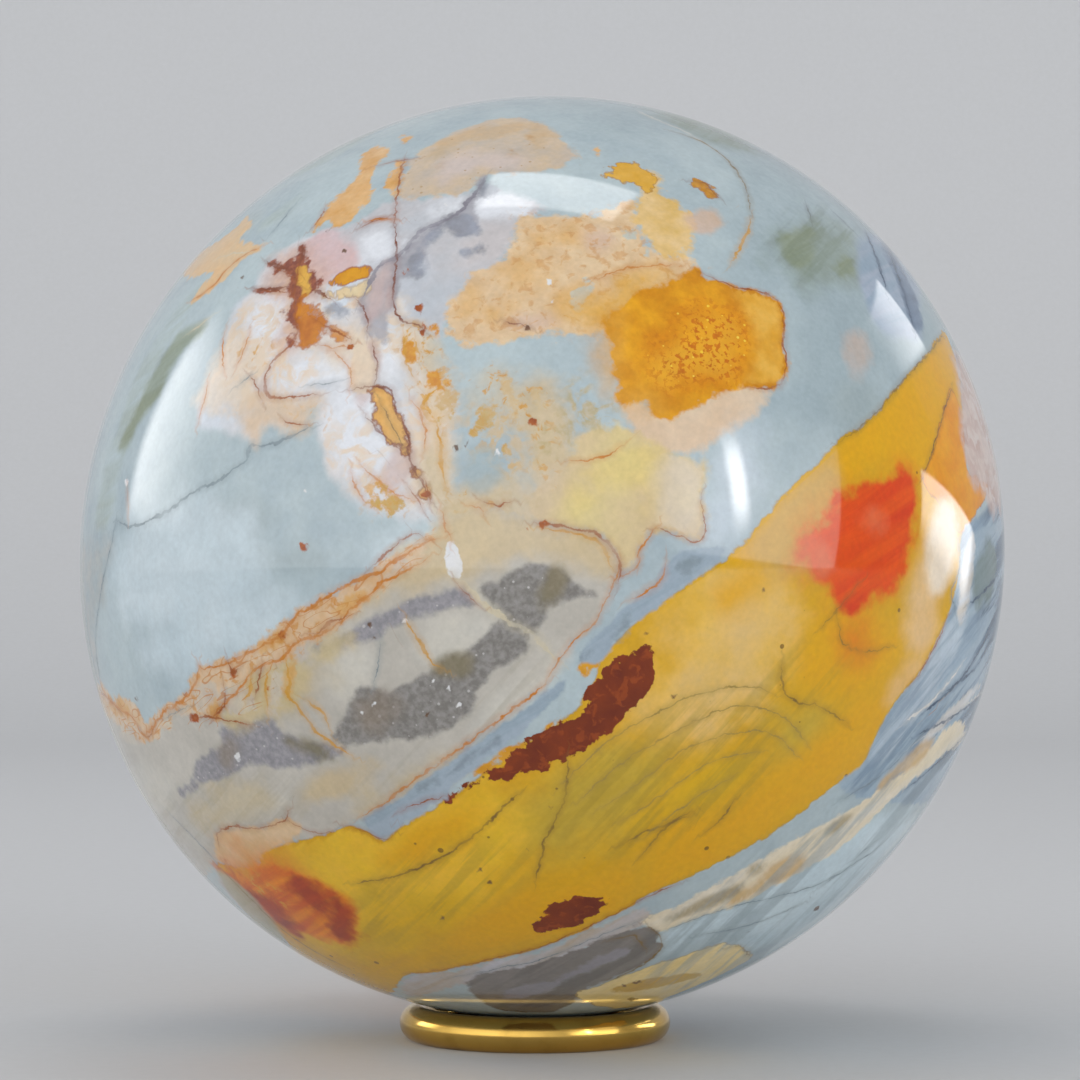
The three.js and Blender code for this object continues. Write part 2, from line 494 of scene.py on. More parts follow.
patch("streak_shade", [oval(462, 226, 20, 11, -15), oval(416, 266, 8, 13), oval(486, 190, 7, 11, -20),
      oval(474, 251, 16, 5, 10), oval(336, 311, 11, 6, -20), oval(432, 236, 12, 7, 30)],
      ("#83858c", "#959cab"), "mottle", 1.0, 1.6, 0.75)
patch("mauve_band", [oval(378, 292, 8, 34, -16), oval(388, 286, 5, 26), oval(366, 372, 10, 32, -8),
      oval(398, 470, 14, 26, -30)], ("#c4a9a6", "#cdb3ab"), "mottle", 1.2, 2, 0.65)
patch("yellow_lens", [yellow_lens], ("#cf8400", "#d99a14"), "mottle", 0.5, 0.4, rim=("#8c3d10", 0.3, 0.7))
patch("cream_lens", [cream_lens], ("#e2d2ab", "#dcc398"), "mottle", 0.4, 0.5, rim=("#a58872", 0.25, 0.5))
patch("cream_slab", [cream_slab], ("#e6d5bd", "#dfc9ae"), "mottle", 0.8, 0.9, 0.9)
patch("golden_slab", [golden_slab, oval(417, 475, 5, 8, 20), oval(426, 492, 5, 8)],
      ("#e0a54a", "#e6b76a"), "mottle", 0.9, 0.5, rim=("#8a4a26", 0.4, 0.85))

# %% [markdown]
# ## The peach and golden patches of the upper right
# Iron stained these patches from peach to a deep, speckled orange. Where the stain stopped, it
# left a thin brown rim. A pale haze among them is a painted reflection of the tall strip lamp.

# %% Peach, hook and saturated orange
peach_field = [
    (632, 200), (601, 213), (547, 217), (519, 217), (515, 240), (499, 262), (475, 275), (457, 300),
    (445, 320), (447, 334), (462, 343), (505, 340), (560, 333), (602, 332), (640, 320), (700, 290),
    (690, 262), (655, 250), (640, 230)]
hook_top = [
    (608, 175), (609, 168), (612, 164), (626, 162), (639, 167), (650, 172), (655, 182), (650, 194),
    (642, 192), (639, 183), (626, 182), (614, 178)]
hook_low = [
    (638, 170), (656, 174), (662, 195), (672, 200), (683, 208), (694, 222), (696, 237), (689, 250),
    (672, 258), (656, 252), (647, 238), (639, 223), (632, 222), (634, 213), (640, 198)]
gold_crumb = [(690, 181), (700, 180), (711, 185), (719, 196), (714, 200), (704, 192), (694, 187)]
saturated_patch = [
    (600, 322), (612, 312), (640, 290), (662, 285), (695, 268), (706, 277), (735, 287), (761, 292),
    (780, 304), (784, 325), (783, 345), (787, 362), (778, 386), (739, 387), (706, 400), (682, 413),
    (656, 417), (642, 400), (621, 409), (612, 400), (621, 385), (612, 368), (611, 342)]
right_lobe = [
    (740, 292), (761, 292), (780, 304), (784, 325), (783, 345), (787, 362), (778, 386), (745, 386),
    (748, 360), (752, 335), (744, 312)]
orange_core = [
    (638, 340), (660, 318), (695, 305), (735, 308), (752, 330), (755, 356), (742, 378), (705, 394),
    (668, 390), (645, 368)]
dark_core = [
    (668, 345), (684, 328), (712, 322), (736, 332), (742, 352), (728, 370), (700, 378), (676, 368)]
pink_tan_band = [
    (612, 398), (619, 409), (639, 439), (666, 455), (689, 454), (714, 442), (739, 422), (756, 415),
    (770, 390), (739, 380), (700, 395), (656, 410), (632, 400)]
yellow_beige = [
    (560, 470), (572, 445), (581, 435), (600, 425), (630, 430), (665, 450), (705, 465), (702, 495),
    (705, 522), (704, 539), (692, 541), (669, 530), (646, 538), (637, 562), (622, 570), (609, 544),
    (597, 534), (572, 528), (540, 522), (526, 505), (540, 485)]
smudge_tall = [
    (500, 378), (508, 377), (514, 386), (519, 400), (527, 407), (518, 411), (508, 405), (501, 395)]
smudge_long = [(470, 440), (474, 420), (484, 410), (494, 403), (499, 408), (492, 419), (482, 431)]
patch("peach_field", [peach_field], ("#dbb98e", "#e2c8a2"), "mottle", 1.5, 1.3, 0.97)
patch("peach_deep", [oval(528, 274, 30, 22, 20), oval(585, 300, 34, 16, 5), oval(560, 240, 30, 12),
      oval(500, 310, 18, 10, 30), oval(640, 300, 26, 12, 20), oval(472, 300, 12, 14, -20)],
      ("#dcac66", "#ddb47a"), "mottle", 3, 5, 0.8)
patch("peach_lilac", [oval(536, 322, 30, 8), oval(600, 240, 20, 12), oval(690, 304, 8, 5, -10)],
      ("#d6b8a4", "#cfb5a4"), "mottle", 2, 3, 0.7)
patch("blue_gap", [oval(581, 295, 9, 14, -20), oval(630, 232, 7, 6), oval(647, 250, 3, 5)],
      ("#b9c3c0", "#c0c4ba"), "cloud", 1.6, 1, 0.9)
patch("peach_flecks", [peach_field], ("#c98c48", "#cf9a5c"), "grain", 3, 4, 0.5, mask="sparse")
patch("pink_tan", [pink_tan_band], ("#dfbf9c", "#dfc8ac"), "cloud", 1, 1.8, 0.95)
# Painted reflection: a pale haze where the tall strip lamp at the right is reflected.
patch("white_haze", [oval(738, 474, 20, 56, -8), oval(722, 520, 18, 30, -20)], ("#c9d5df", "#c0cdd9"),
      "cloud", 3, 8, 0.75)
patch("yellow_beige", [yellow_beige], ("#dcc88c", "#d6bd94"), "cloud", 1, 1.8, 0.95)
patch("yellow_glow", [oval(620, 468, 40, 22, 10), oval(575, 500, 24, 16), oval(668, 500, 16, 16)],
      ("#e2ce84", "#dfc47c"), "cloud", 3, 5, 0.8)
patch("beige_cream", [oval(684, 496, 24, 40)], ("#dccdb0", "#d8cab6"), "cloud", 2, 5, 0.85,
      within="yellow_beige")
patch("hook_low", [hook_low], ("#e0b866", "#e4c48c"), "mottle", 1.4, 1.4, 0.97)
patch("hook_tan", [oval(706, 222, 15, 11)], ("#d6b496", "#d0b4a0"), "mottle", 2, 2.4, 0.8)
patch("hook_top", [hook_top], ("#dca41c", "#dfae48"), "mottle", 1.2, 0.5, 1.0, rim=("#94651c", 0.3, 0.6))
patch("gold_crumb", [gold_crumb], ("#c48410", "#cf9630"), "grain", 1.2, 0.5, 1.0,
      rim=("#8a4a1c", 0.25, 0.5))
patch("gold_haze", [oval(606, 306, 46, 16, 15), oval(640, 280, 30, 10, 15)], ("#dda63c", "#ddae58"),
      "mottle", 2, 6, 0.8)
patch("saturated", [saturated_patch], ("#cc8200", "#e6a414"), "mottle", 1.0, 0.9, 1.0)
patch("right_lobe", [right_lobe], ("#e4a830", "#e6b654"), "mottle", 2.4, 3, 0.9, within="saturated")
patch("left_fade", [oval(608, 345, 12, 46), oval(636, 398, 24, 10, -20)], ("#d99c28", "#d9a44c"),
      "mottle", 3, 6, 0.6)
patch("orange_core", [orange_core], ("#d88600", "#e49e10"), "mottle", 2.6, 4, 0.9)
patch("core_glow", [oval(700, 352, 34, 22, 10), oval(668, 366, 14, 12)], ("#eab030", "#e6a824"), "mottle",
      3, 6, 0.7)
patch("core_threads", [orange_core], ("#c46a00", "#cc7800"), "grain", 3, 6, 0.6, mask="crumbs")
patch("core_knots", [dark_core], ("#bc5600", "#c86800"), "grain", 3, 4, 0.6, mask="crumbs")
patch("core_sparks", [orange_core], ("#f8d850", "#f2c428"), "grain", 3, 3, 0.95, mask="specks")
patch("ochre_smudge", [smudge_tall, oval(509, 418, 6, 5), oval(534, 396, 8, 5, -30),
      oval(447, 400, 9, 14), oval(516, 467, 4, 4), oval(545, 463, 8, 9), oval(486, 447, 14, 6, 30)],
      ("#d2a868", "#c9ab78"), "grain", 1.6, 0.9, 0.9)
patch("olive_gold", [smudge_long, oval(447, 417, 9, 7, -35), oval(540, 402, 3, 4), oval(504, 447, 5, 2.5),
      oval(376, 503, 7, 6), oval(393, 504, 9, 5, -15), oval(383, 488, 6, 4, -40)], ("#c8a348", "#c79218"),
      "grain", 1.6, 0.8, 0.9)
patch("gold_blobs", [oval(411, 353, 6, 13, -5), [(423, 367), (431, 368), (441, 378), (452, 387),
      (440, 391), (430, 384)], oval(434, 328, 8, 5, -20), [(478, 531), (492, 527), (497, 521), (505, 526),
      (513, 532), (495, 533)], oval(474, 506, 12, 3.5, -30), oval(498, 516, 6, 3)],
      ("#cf8208", "#d49620"), "grain", 1.0, 0.6, 0.95)
patch("tan_veil", [oval(522, 408, 44, 34, -20), oval(548, 446, 26, 34, 10), oval(474, 496, 22, 12, -10)],
      ("#ccb386", "#cdb996"), "mottle", 3, 7, 0.8)
patch("tan_floor", [oval(505, 503, 62, 22, 5), oval(545, 455, 22, 56), oval(440, 472, 16, 46, -8)],
      ("#d0bd96", "#cfbb9c"), "mottle", 2.4, 4, 0.85)
patch("tan_dotted", [oval(448, 448, 12, 56, -4), oval(510, 500, 50, 10, 8), oval(500, 440, 42, 40)],
      ("#cdb68e", "#c9b596"), "grain", 3, 4, 0.85, mask="wisps")
patch("gold_smears", [oval(510, 400, 44, 26, -25), oval(540, 450, 16, 36, 10),
      oval(470, 500, 26, 8, -10)], ("#cc9238", "#cf9e4c"), "grain", 3, 4, 0.9, mask="sparse")
patch("olive_tan", [oval(590, 408, 26, 30, 25), oval(560, 440, 30, 14, 30)], ("#bdaa76", "#c4b08a"),
      "grain", 3, 4, 0.8, mask="wisps")
patch("dark_blue_patch", [oval(482, 466, 20, 26, -15)], ("#94a5aa", "#9fb0b4"), "cloud", 1.2, 2.2, 0.7)

# %% [markdown]
# ## The beige ground and its grey, speckled bands
# Below a braid of rusty veins lies beige mudstone with grey bands. The bands are full of fine
# pale and dark specks, because they are ash rather than mud.

# %% Beige ground and grey bands
beige_ground = [
    (98, 682), (112, 698), (130, 700), (146, 722), (160, 708), (185, 693), (198, 667), (228, 660), (255, 645),
    (283, 622), (310, 604), (345, 588), (372, 570), (400, 553), (430, 537), (450, 520), (480, 508),
    (510, 512), (540, 523), (572, 529), (597, 534), (610, 544), (619, 560), (616, 578), (606, 602),
    (594, 625), (576, 640), (557, 662), (546, 684), (520, 704), (485, 730), (455, 752), (415, 780),
    (379, 806), (350, 825), (318, 838), (283, 843), (262, 855), (255, 868), (214, 864), (190, 900),
    (140, 860), (100, 790), (75, 725)]
warm_band = [
    (380, 573), (405, 553), (430, 535), (450, 518), (480, 508), (540, 524), (597, 534), (615, 555),
    (605, 575), (570, 560), (530, 558), (500, 572), (465, 584), (430, 590), (380, 604), (340, 620),
    (322, 626), (350, 602)]
grey_streak = [
    (312, 648), (340, 635), (365, 620), (395, 608), (415, 598), (445, 590), (465, 592), (478, 605),
    (460, 605), (445, 610), (415, 618), (395, 624), (378, 637), (350, 645), (325, 652)]
grey_patch = [
    (478, 588), (505, 577), (530, 564), (550, 566), (570, 578), (593, 596), (575, 598), (552, 607),
    (540, 622), (534, 634), (510, 620), (492, 605)]
dark_band = [
    (332, 737), (346, 714), (352, 697), (368, 687), (388, 694), (402, 685), (425, 675), (445, 660),
    (470, 650), (486, 634), (500, 622), (515, 628), (530, 642), (515, 660), (495, 670), (482, 686),
    (470, 710), (450, 727), (425, 737), (385, 741), (350, 746)]
left_grey = [
    (220, 728), (245, 722), (270, 716), (283, 732), (303, 742), (330, 744), (346, 750), (325, 760),
    (290, 768), (250, 765), (228, 776), (205, 783), (184, 795), (178, 790), (192, 780), (195, 762),
    (212, 750), (222, 745)]
patch("beige_ground", [beige_ground], ("#c6c1b7", "#b9b4aa"), "cloud", 0.9, 0.8)
patch("warm_band", [warm_band, oval(335, 785, 45, 14, 25)], ("#d0ba8e", "#c8b696"), "cloud", 2, 4, 0.9)
patch("pale_ground", [oval(520, 693, 66, 12, 38), oval(450, 637, 40, 18, 25), oval(345, 672, 28, 26, 20),
      oval(250, 805, 50, 14, 5), oval(150, 790, 30, 24)], ("#d2cdc0", "#cac8c0"), "cloud", 2, 4, 0.8)
patch("pale_lines", [oval(430, 770, 90, 40, 35), oval(230, 810, 80, 40, 10), oval(480, 700, 80, 30, 38)],
      ("#a8a294", "#b0a791"), "flow", 2, 6, 0.4, mask="streaks")
patch("gold_wash", [oval(232, 808, 46, 20, 10), oval(285, 690, 60, 26, 35), oval(400, 790, 60, 10, 30)],
      ("#c9b078", "#c6b48c"), "flow", 3, 6, 0.5)
patch("grey_bands", [grey_streak, left_grey], ("#8c8b90", "#9c999e"), "grain", 0.6, 1.2, 0.95)
patch("ash_bands", [dark_band, grey_patch], ("#807c77", "#93908c"), "grain", 0.6, 1.1)
patch("ash_specks", [dark_band, grey_patch, grey_streak, left_grey], ("#bdbab8", "#cfcccb"), "grain", 0.5,
      1.5, 0.75, mask="specks")
patch("olive_on_ash", [oval(551, 588, 11, 20, -20), oval(452, 667, 18, 9, 10),
      oval(310, 748, 28, 8, -20)], ("#7b7254", "#857a5f"), "mottle", 1.5, 2.5, 0.8)
patch("brown_on_ash", [oval(378, 712, 24, 22, 30), oval(228, 752, 8, 14)], ("#8b7d6d", "#8f8376"),
      "grain", 1.5, 3, 0.7)

# %% [markdown]
# ## The rusty braid
# Along its upper side the beige ground is stained peach between two veins that cross and part
# again and again, like a braid. Pockets of cream and lilac-grey are left between them.

# %% Peach of the braid
braid = [
    (98, 682), (112, 698), (130, 700), (146, 722), (160, 708), (185, 693), (198, 667), (228, 660), (255, 645),
    (283, 622), (310, 604), (345, 588), (372, 570), (400, 553), (432, 535), (420, 560), (395, 578),
    (378, 590), (352, 618), (330, 632), (305, 642), (290, 662), (262, 668), (242, 682), (225, 692),
    (208, 718), (185, 712), (166, 728), (146, 742), (118, 725), (100, 706)]
patch("yellow_below_braid", [oval(270, 690, 50, 24, 35), oval(330, 650, 30, 12, 35),
      oval(250, 712, 30, 12, 10)], ("#cdbb8c", "#c9b58a"), "mottle", 2, 3, 0.8)
patch("braid", [braid], ("#dcb384", "#d7c2a6"), "mottle", 1.2, 1.0, 0.92)
patch("braid_pockets", [oval(206, 696, 15, 14, 30), oval(130, 734, 11, 10), oval(168, 716, 16, 8, 15),
      oval(240, 700, 12, 14, 20), oval(276, 690, 8, 22, -10), oval(400, 566, 18, 6, 35),
      oval(300, 655, 10, 7)], ("#c4b9ae", "#cfc5b0"), "mottle", 1.4, 1.2, 0.8)
patch("gold_in_braid", [oval(215, 708, 7, 9, 40), oval(118, 706, 12, 8, -35), oval(290, 675, 6, 24, -8),
      oval(270, 640, 14, 8, 30), oval(350, 605, 20, 5, 35)], ("#d39c44", "#d9ab6c"), "mottle", 1.2, 1.3,
      0.8)
patch("braid_net", [braid, oval(240, 692, 60, 20, 30)], ("#c8853c", "#bd7430"), "grain", 1.5, 1.5, 0.65,
      mask="veinlets")
patch("braid_stain", [braid], ("#cf9040", "#c98a3c"), "grain", 1.5, 1.5, 0.7, mask="sparse")
patch("rust_dots", [oval(187, 694, 3, 3), oval(194, 717, 4, 4), oval(283, 634, 4, 3),
      oval(367, 567, 3, 5), oval(305, 546, 4, 3, -30), oval(420, 308, 5, 5), oval(232, 672, 3, 4),
      oval(267, 688, 3, 5), oval(404, 270, 5, 3), oval(388, 389, 5, 2.5), oval(350, 347, 4, 2),
      oval(534, 422, 5, 3), oval(527, 527, 5, 3), oval(546, 524, 5, 4), oval(422, 331, 4, 7, -20),
      oval(419, 480, 4, 3), oval(427, 494, 4, 3)], ("#9a4608", "#ae5a14"), "grain", 0.7, 0.4)

# %% [markdown]
# ## The yellow field
# The great mustard field is one bed of ochre mud. It is crisp against the blue stone and full of
# soft tints inside, from sand to amber and olive, with fine flow lines and scattered dark grains.
# Its lowest tints are painted lighter than the stone, as painted light where less light reaches.

# %% The field and its tints
mustard_field = [
    (727, 559), (747, 539), (781, 499), (818, 464), (838, 440), (863, 425), (884, 404), (903, 380),
    (928, 354), (943, 332), (952, 350), (960, 380), (964, 445), (968, 472), (988, 486), (974, 512),
    (963, 535), (958, 575), (947, 619), (935, 644), (922, 670), (896, 702), (878, 733), (862, 766),
    (839, 783), (791, 819), (743, 850), (700, 872), (660, 890), (600, 922), (545, 946), (500, 958),
    (440, 971), (405, 976), (380, 1000), (330, 985), (300, 955), (262, 915), (216, 865), (256, 868),
    (262, 853), (290, 843), (325, 835), (345, 826), (368, 832), (382, 840), (400, 828), (436, 806),
    (470, 783), (513, 750), (560, 722), (590, 690), (600, 662), (616, 641), (640, 619), (679, 590)]
amber_corner = [
    (727, 559), (781, 499), (838, 440), (903, 380), (943, 332), (960, 380), (966, 469), (930, 480),
    (870, 470), (820, 505), (800, 560), (765, 568)]
bright_orange = [
    (952, 388), (945, 407), (939, 429), (931, 460), (922, 478), (940, 505), (962, 534), (976, 512),
    (988, 486), (968, 472), (964, 430)]
sand_corner = [(745, 545), (781, 500), (818, 466), (836, 448), (836, 560), (800, 572), (765, 566)]
amber_low = [
    (650, 862), (675, 822), (720, 812), (765, 780), (830, 725), (880, 690), (896, 702), (862, 766),
    (791, 819), (743, 850), (690, 880), (645, 895)]
pale_corner = [
    (219, 832), (255, 828), (286, 818), (304, 832), (283, 844), (262, 853), (256, 868), (219, 862)]
patch("mustard_field", [mustard_field], ("#dca800", "#d6a418"), "flow", 0.6, 0.35, 1.0,
      rim=("#a8822a", 0.3, 0.4))
patch("sand_tint", [oval(730, 640, 60, 66, -15), oval(690, 700, 60, 40, 20)], ("#eabf6a", "#e6bc58"),
      "cloud", 5, 12, 0.95, within="mustard_field")
patch("sand_pale", [oval(742, 622, 26, 40, -10), oval(722, 690, 36, 24, 20)], ("#e2c080", "#deb86c"),
      "mottle", 5, 10, 0.85)
# Painted light: the khaki tint is painted lighter than the stone, to make up for the weaker light low on the
# ball.
patch("khaki_tint", [oval(590, 800, 90, 40, 25), oval(800, 730, 34, 26, 30)], ("#c8aa3a", "#c0a230"),
      "flow", 3, 10, 0.9, within="mustard_field")
# Painted light: the gold of the field's lower left is painted lighter than the stone, to make up for the
# weaker light there.
patch("left_gold", [oval(400, 872, 130, 66, 20), oval(345, 848, 60, 26, 20)], ("#f2c626", "#ecbc2e"),
      "mottle", 4, 9, 0.85, within="mustard_field")
# Painted light: this low part of the field is painted lighter than the stone, to make up for the weaker light
# there.
patch("olive_low", [oval(400, 925, 70, 28, 15), oval(690, 790, 60, 20, 30)], ("#dcae00", "#d4aa10"),
      "flow", 3, 8, 0.85, within="mustard_field")
patch("amber_tint", [amber_corner, amber_low, oval(850, 655, 50, 42, 30), oval(545, 910, 100, 22, 18),
      oval(430, 838, 55, 18, 28), oval(740, 590, 30, 14, 40)], ("#e6ac00", "#dea200"), "mottle", 2, 6,
      0.9, within="mustard_field")
patch("flow_lines", [oval(680, 770, 130, 62, 30), oval(430, 890, 110, 34, 20),
      oval(800, 690, 50, 40, 30)], ("#9a8428", "#a8902c"), "flow", 2, 8, 0.4, mask="streaks",
      within="mustard_field")
patch("sand_corner", [sand_corner], ("#c8a258", "#cda65c"), "cloud", 1.5, 4, 0.85, within="mustard_field")
patch("field_grains", [mustard_field], ("#5f4410", "#7a5614"), "grain", 0.5, 2.0, 0.8, mask="dots")
patch("bright_orange", [bright_orange], ("#e69000", "#e8a010"), "mottle", 0.5, 0.5, 1.0,
      rim=("#a4581a", 0.2, 0.6))
patch("pale_corner", [pale_corner], ("#dcb98a", "#dfc19a"), "mottle", 0.8, 1.2, 0.95)
patch("right_peach", [oval(925, 600, 16, 62, -8), oval(905, 680, 12, 30, -32)], ("#e4b66c", "#e4c08c"),
      "cloud", 1.5, 5, 0.9, within="mustard_field")
# Partly painted reflection: cream stone, painted near-white where the small low lamp at the right is
# reflected.
patch("right_cream", [oval(941, 548, 14, 50, -6)], ("#f4e8d8", "#f0dec4"), "cloud", 1.5, 3.5, 0.95,
      within="mustard_field")

# %% [markdown]
# ## Red, brown and rust
# Where the iron turned to red oxide, the stain is red-orange with a soft halo, or a solid dark
# brown with a sawtooth edge.

# %% Stains and brown patches
red_spot = [
    (840, 502), (864, 482), (884, 472), (900, 470), (912, 480), (917, 505), (912, 540), (898, 568),
    (880, 590), (855, 606), (838, 612), (830, 595), (812, 575), (806, 550), (815, 522)]
brown_patch = [
    (651, 648), (650, 690), (640, 703), (612, 727), (585, 748), (560, 760), (520, 775), (480, 786),
    (455, 796), (440, 799), (470, 783), (495, 768), (520, 750), (540, 732), (570, 718), (585, 700),
    (602, 672), (620, 661)]
small_brown = [
    (538, 931), (539, 919), (555, 903), (577, 896), (604, 897), (597, 912), (580, 922), (560, 928)]
rust_stain = [
    (216, 866), (240, 868), (264, 862), (283, 866), (310, 880), (340, 888), (358, 905), (358, 928),
    (347, 943), (330, 940), (296, 930), (262, 914), (240, 893)]
gold_beside_brown = [(470, 778), (495, 755), (512, 746), (528, 745), (520, 755), (495, 768)]
patch("orange_halo", [red_spot, oval(275, 890, 60, 34, -35), oval(855, 640, 20, 24, 20)],
      ("#dd8c0c", "#d8780a"), "mottle", 3, 9, 0.8)
patch("red_spot", [red_spot], ("#d83c00", "#e65400"), "flow", 2.6, 2.4)
patch("pale_red", [oval(818, 556, 16, 24, 10), oval(868, 520, 14, 10, 40)], ("#e2754a", "#e0683c"),
      "mottle", 2.5, 4, 0.8)
patch("gold_wedge", [gold_beside_brown, oval(588, 668, 11, 7, 20), oval(550, 726, 12, 4, 35)],
      ("#cf8c08", "#d69a26"), "mottle", 1, 0.7)
patch("rust_stain", [rust_stain], ("#ec8a00", "#d05c00"), "flow", 2.4, 3)
patch("gold_in_stain", [oval(262, 888, 26, 9, -38), oval(282, 857, 24, 6, 10)], ("#dc9c00", "#dca53a"),
      "grain", 2, 4, 0.9, mask="sparse")
patch("dark_rust", [oval(340, 916, 13, 24, 15), oval(314, 900, 26, 11, -35), oval(262, 902, 56, 5, -42),
      oval(238, 874, 20, 4, -25)], ("#8c1e00", "#b03c00"), "flow", 4, 4.5, 0.92)
patch("brown_patch", [brown_patch, small_brown, oval(399, 813, 6, 3, 35), oval(386, 817, 2, 3),
      oval(367, 821, 3, 2)], ("#702600", "#823200"), "mottle", 1.3, 0.25)
patch("brown_crumbs", [brown_patch, small_brown], ("#a84c0e", "#964008"), "grain", 1, 0.8, 0.6,
      mask="sparse")

# %% [markdown]
# ## The blue stripe, and the blue flows at the right and below
# Blue-grey clay was squeezed along the field's edges and drawn out into streaks.

# %% Blue stripe and flows
stripe_right = [
    (727, 552), (700, 546), (668, 560), (655, 585), (630, 605), (600, 632), (578, 655), (590, 663),
    (606, 657), (618, 637), (640, 619), (679, 590), (705, 570)]
stripe_left = [
    (563, 681), (545, 692), (520, 713), (480, 740), (440, 767), (400, 797), (362, 818), (382, 839),
    (400, 826), (436, 804), (470, 772), (515, 738), (548, 708), (562, 692)]
right_flow = [
    (962, 533), (985, 512), (1003, 500), (1025, 560), (1020, 660), (985, 760), (940, 800), (870, 800),
    (839, 783), (862, 766), (878, 733), (896, 702), (922, 670), (947, 619), (960, 575)]
flow_pale = [
    (962, 560), (975, 575), (968, 620), (950, 665), (925, 705), (900, 740), (880, 762), (866, 764),
    (880, 735), (900, 702), (924, 670), (937, 644), (949, 619), (958, 590)]
flow_deep = [
    (985, 512), (1003, 500), (1025, 560), (1020, 660), (985, 750), (950, 775), (930, 745), (950, 706),
    (972, 650), (982, 600), (985, 560)]
tan_streak = [
    (958, 720), (931, 745), (900, 775), (860, 803), (815, 828), (770, 853), (725, 880), (680, 905),
    (645, 920), (656, 932), (700, 917), (745, 902), (790, 878), (835, 852), (865, 827), (900, 792),
    (940, 757), (965, 738)]
bottom_grey = [
    (478, 975), (520, 968), (560, 956), (600, 940), (645, 926), (660, 938), (658, 954), (630, 970),
    (590, 988), (560, 1010), (500, 1010), (470, 990)]
tan_lens = [
    (575, 995), (600, 985), (635, 972), (700, 950), (730, 944), (752, 956), (720, 975), (690, 988),
    (650, 1003), (610, 1008)]
limb_lilac = [(955, 350), (975, 380), (996, 440), (1000, 505), (985, 498), (968, 470), (962, 400)]
left_limb = [(112, 540), (103, 580), (97, 640), (100, 690), (80, 700), (60, 640), (70, 560)]
below_field = [
    (405, 978), (450, 972), (500, 960), (545, 950), (600, 926), (640, 908), (648, 922), (600, 944),
    (545, 964), (500, 974), (450, 988), (410, 996)]
# Painted light: this pale blue is painted lighter than the stone, to make up for the weaker light low on the
# ball.
patch("low_blue", [oval(830, 885, 110, 44, 33), oval(700, 925, 60, 14, 20)], ("#d2e3ea", "#c4d8e1"),
      "cloud", 3, 8, 0.85)
patch("blue_stripe", [stripe_right, stripe_left], ("#93a5b2", "#a3b2bf"), "flow", 0.6, 0.7)
patch("stripe_shade", [oval(621, 632, 5, 14, -30), oval(690, 565, 16, 5, 30), oval(460, 765, 50, 4, 33),
      oval(585, 655, 12, 3, 30)], ("#7c8c8c", "#8795a0"), "flow", 1, 1.4, 0.8)
patch("right_flow", [right_flow], ("#a3b6c4", "#93a9bb"), "flow", 0.6, 0.8)
patch("flow_pale", [flow_pale], ("#c3ced8", "#b4c4d0"), "cloud", 1.2, 2, 0.8)
patch("flow_navy", [right_flow], ("#5f7890", "#748ca2"), "flow", 1.0, 2.5, 0.6, mask="streaks")
patch("flow_deep", [flow_deep], ("#435c74", "#5a7288"), "flow", 2.0, 4, 0.9, mask="streaks")
patch("flow_white", [oval(966, 580, 6, 46, -8), oval(950, 715, 44, 4, 45), oval(915, 758, 20, 5, 38)],
      ("#d7dce2", "#d9cdbb"), "flow", 0.8, 1.2, 0.85)
patch("green_grey", [oval(985, 575, 12, 34, -8)], ("#6f817d", "#7f8f8e"), "flow", 2, 2.5, 0.85)
patch("limb_lilac", [limb_lilac], ("#c8a090", "#cdb6ac"), "mottle", 2.5, 3.5, 0.85)
patch("lilac_wisps", [limb_lilac], ("#dfd6d2", "#d2bcb2"), "mottle", 1.5, 3, 0.8, mask="wisps")
patch("left_limb", [left_limb], ("#a3b0b4", "#b3aea6"), "mottle", 3, 5, 0.6)
patch("below_field", [below_field], ("#b9a792", "#c6c4cc"), "flow", 0.9, 1.0, 0.9)
# Painted light: the tan streak is painted lighter than the stone, to make up for the weaker light low on the
# ball.
patch("tan_streak", [tan_streak], ("#e8d8b6", "#eadfca"), "flow", 0.9, 0.8, 0.95)
patch("peach_in_streak", [oval(785, 868, 24, 10, 28), oval(750, 893, 20, 5, 28),
      oval(905, 765, 34, 6, 42)], ("#d3ac6c", "#ccac7c"), "mottle", 1.5, 2, 0.8)
patch("brown_in_streak", [oval(705, 903, 40, 5, 24), oval(840, 823, 16, 5, 35), oval(757, 868, 9, 4, 20)],
      ("#a09070", "#aa9a78"), "flow", 1.2, 2, 0.8)
patch("bottom_grey", [bottom_grey], ("#74706c", "#8a8480"), "flow", 0.8, 0.9)
patch("bottom_lilac", [oval(530, 990, 30, 6, 12), oval(600, 962, 34, 5, 22), oval(570, 975, 20, 3, 22)],
      ("#a09ea6", "#94929a"), "flow", 0.8, 1.4, 0.8)
# Painted light: the tan lens is painted lighter than the stone, to make up for the weaker light low on the
# ball.
patch("tan_lens", [tan_lens], ("#f4d890", "#f2dca4"), "flow", 0.7, 0.7, rim=("#85693a", 0.25, 0.5))
patch("gold_in_lens", [oval(655, 983, 46, 5, 10)], ("#cfa02c", "#cfa840"), "flow", 0.8, 0.9, 0.9)
patch("right_streaks", [oval(780, 900, 150, 50, 32), oval(900, 800, 80, 30, 42)], ("#8a9aa2", "#9aaab0"),
      "flow", 2, 6, 0.5, mask="streaks")
patch("limb_khaki", [oval(250, 905, 46, 8, -47)], ("#a9a88c", "#b4b09a"), "flow", 1, 2, 0.85)

# %% [markdown]
# ## The burst of rust at the upper left
# Several cracks meet at one point, and iron bled out of it in a star.

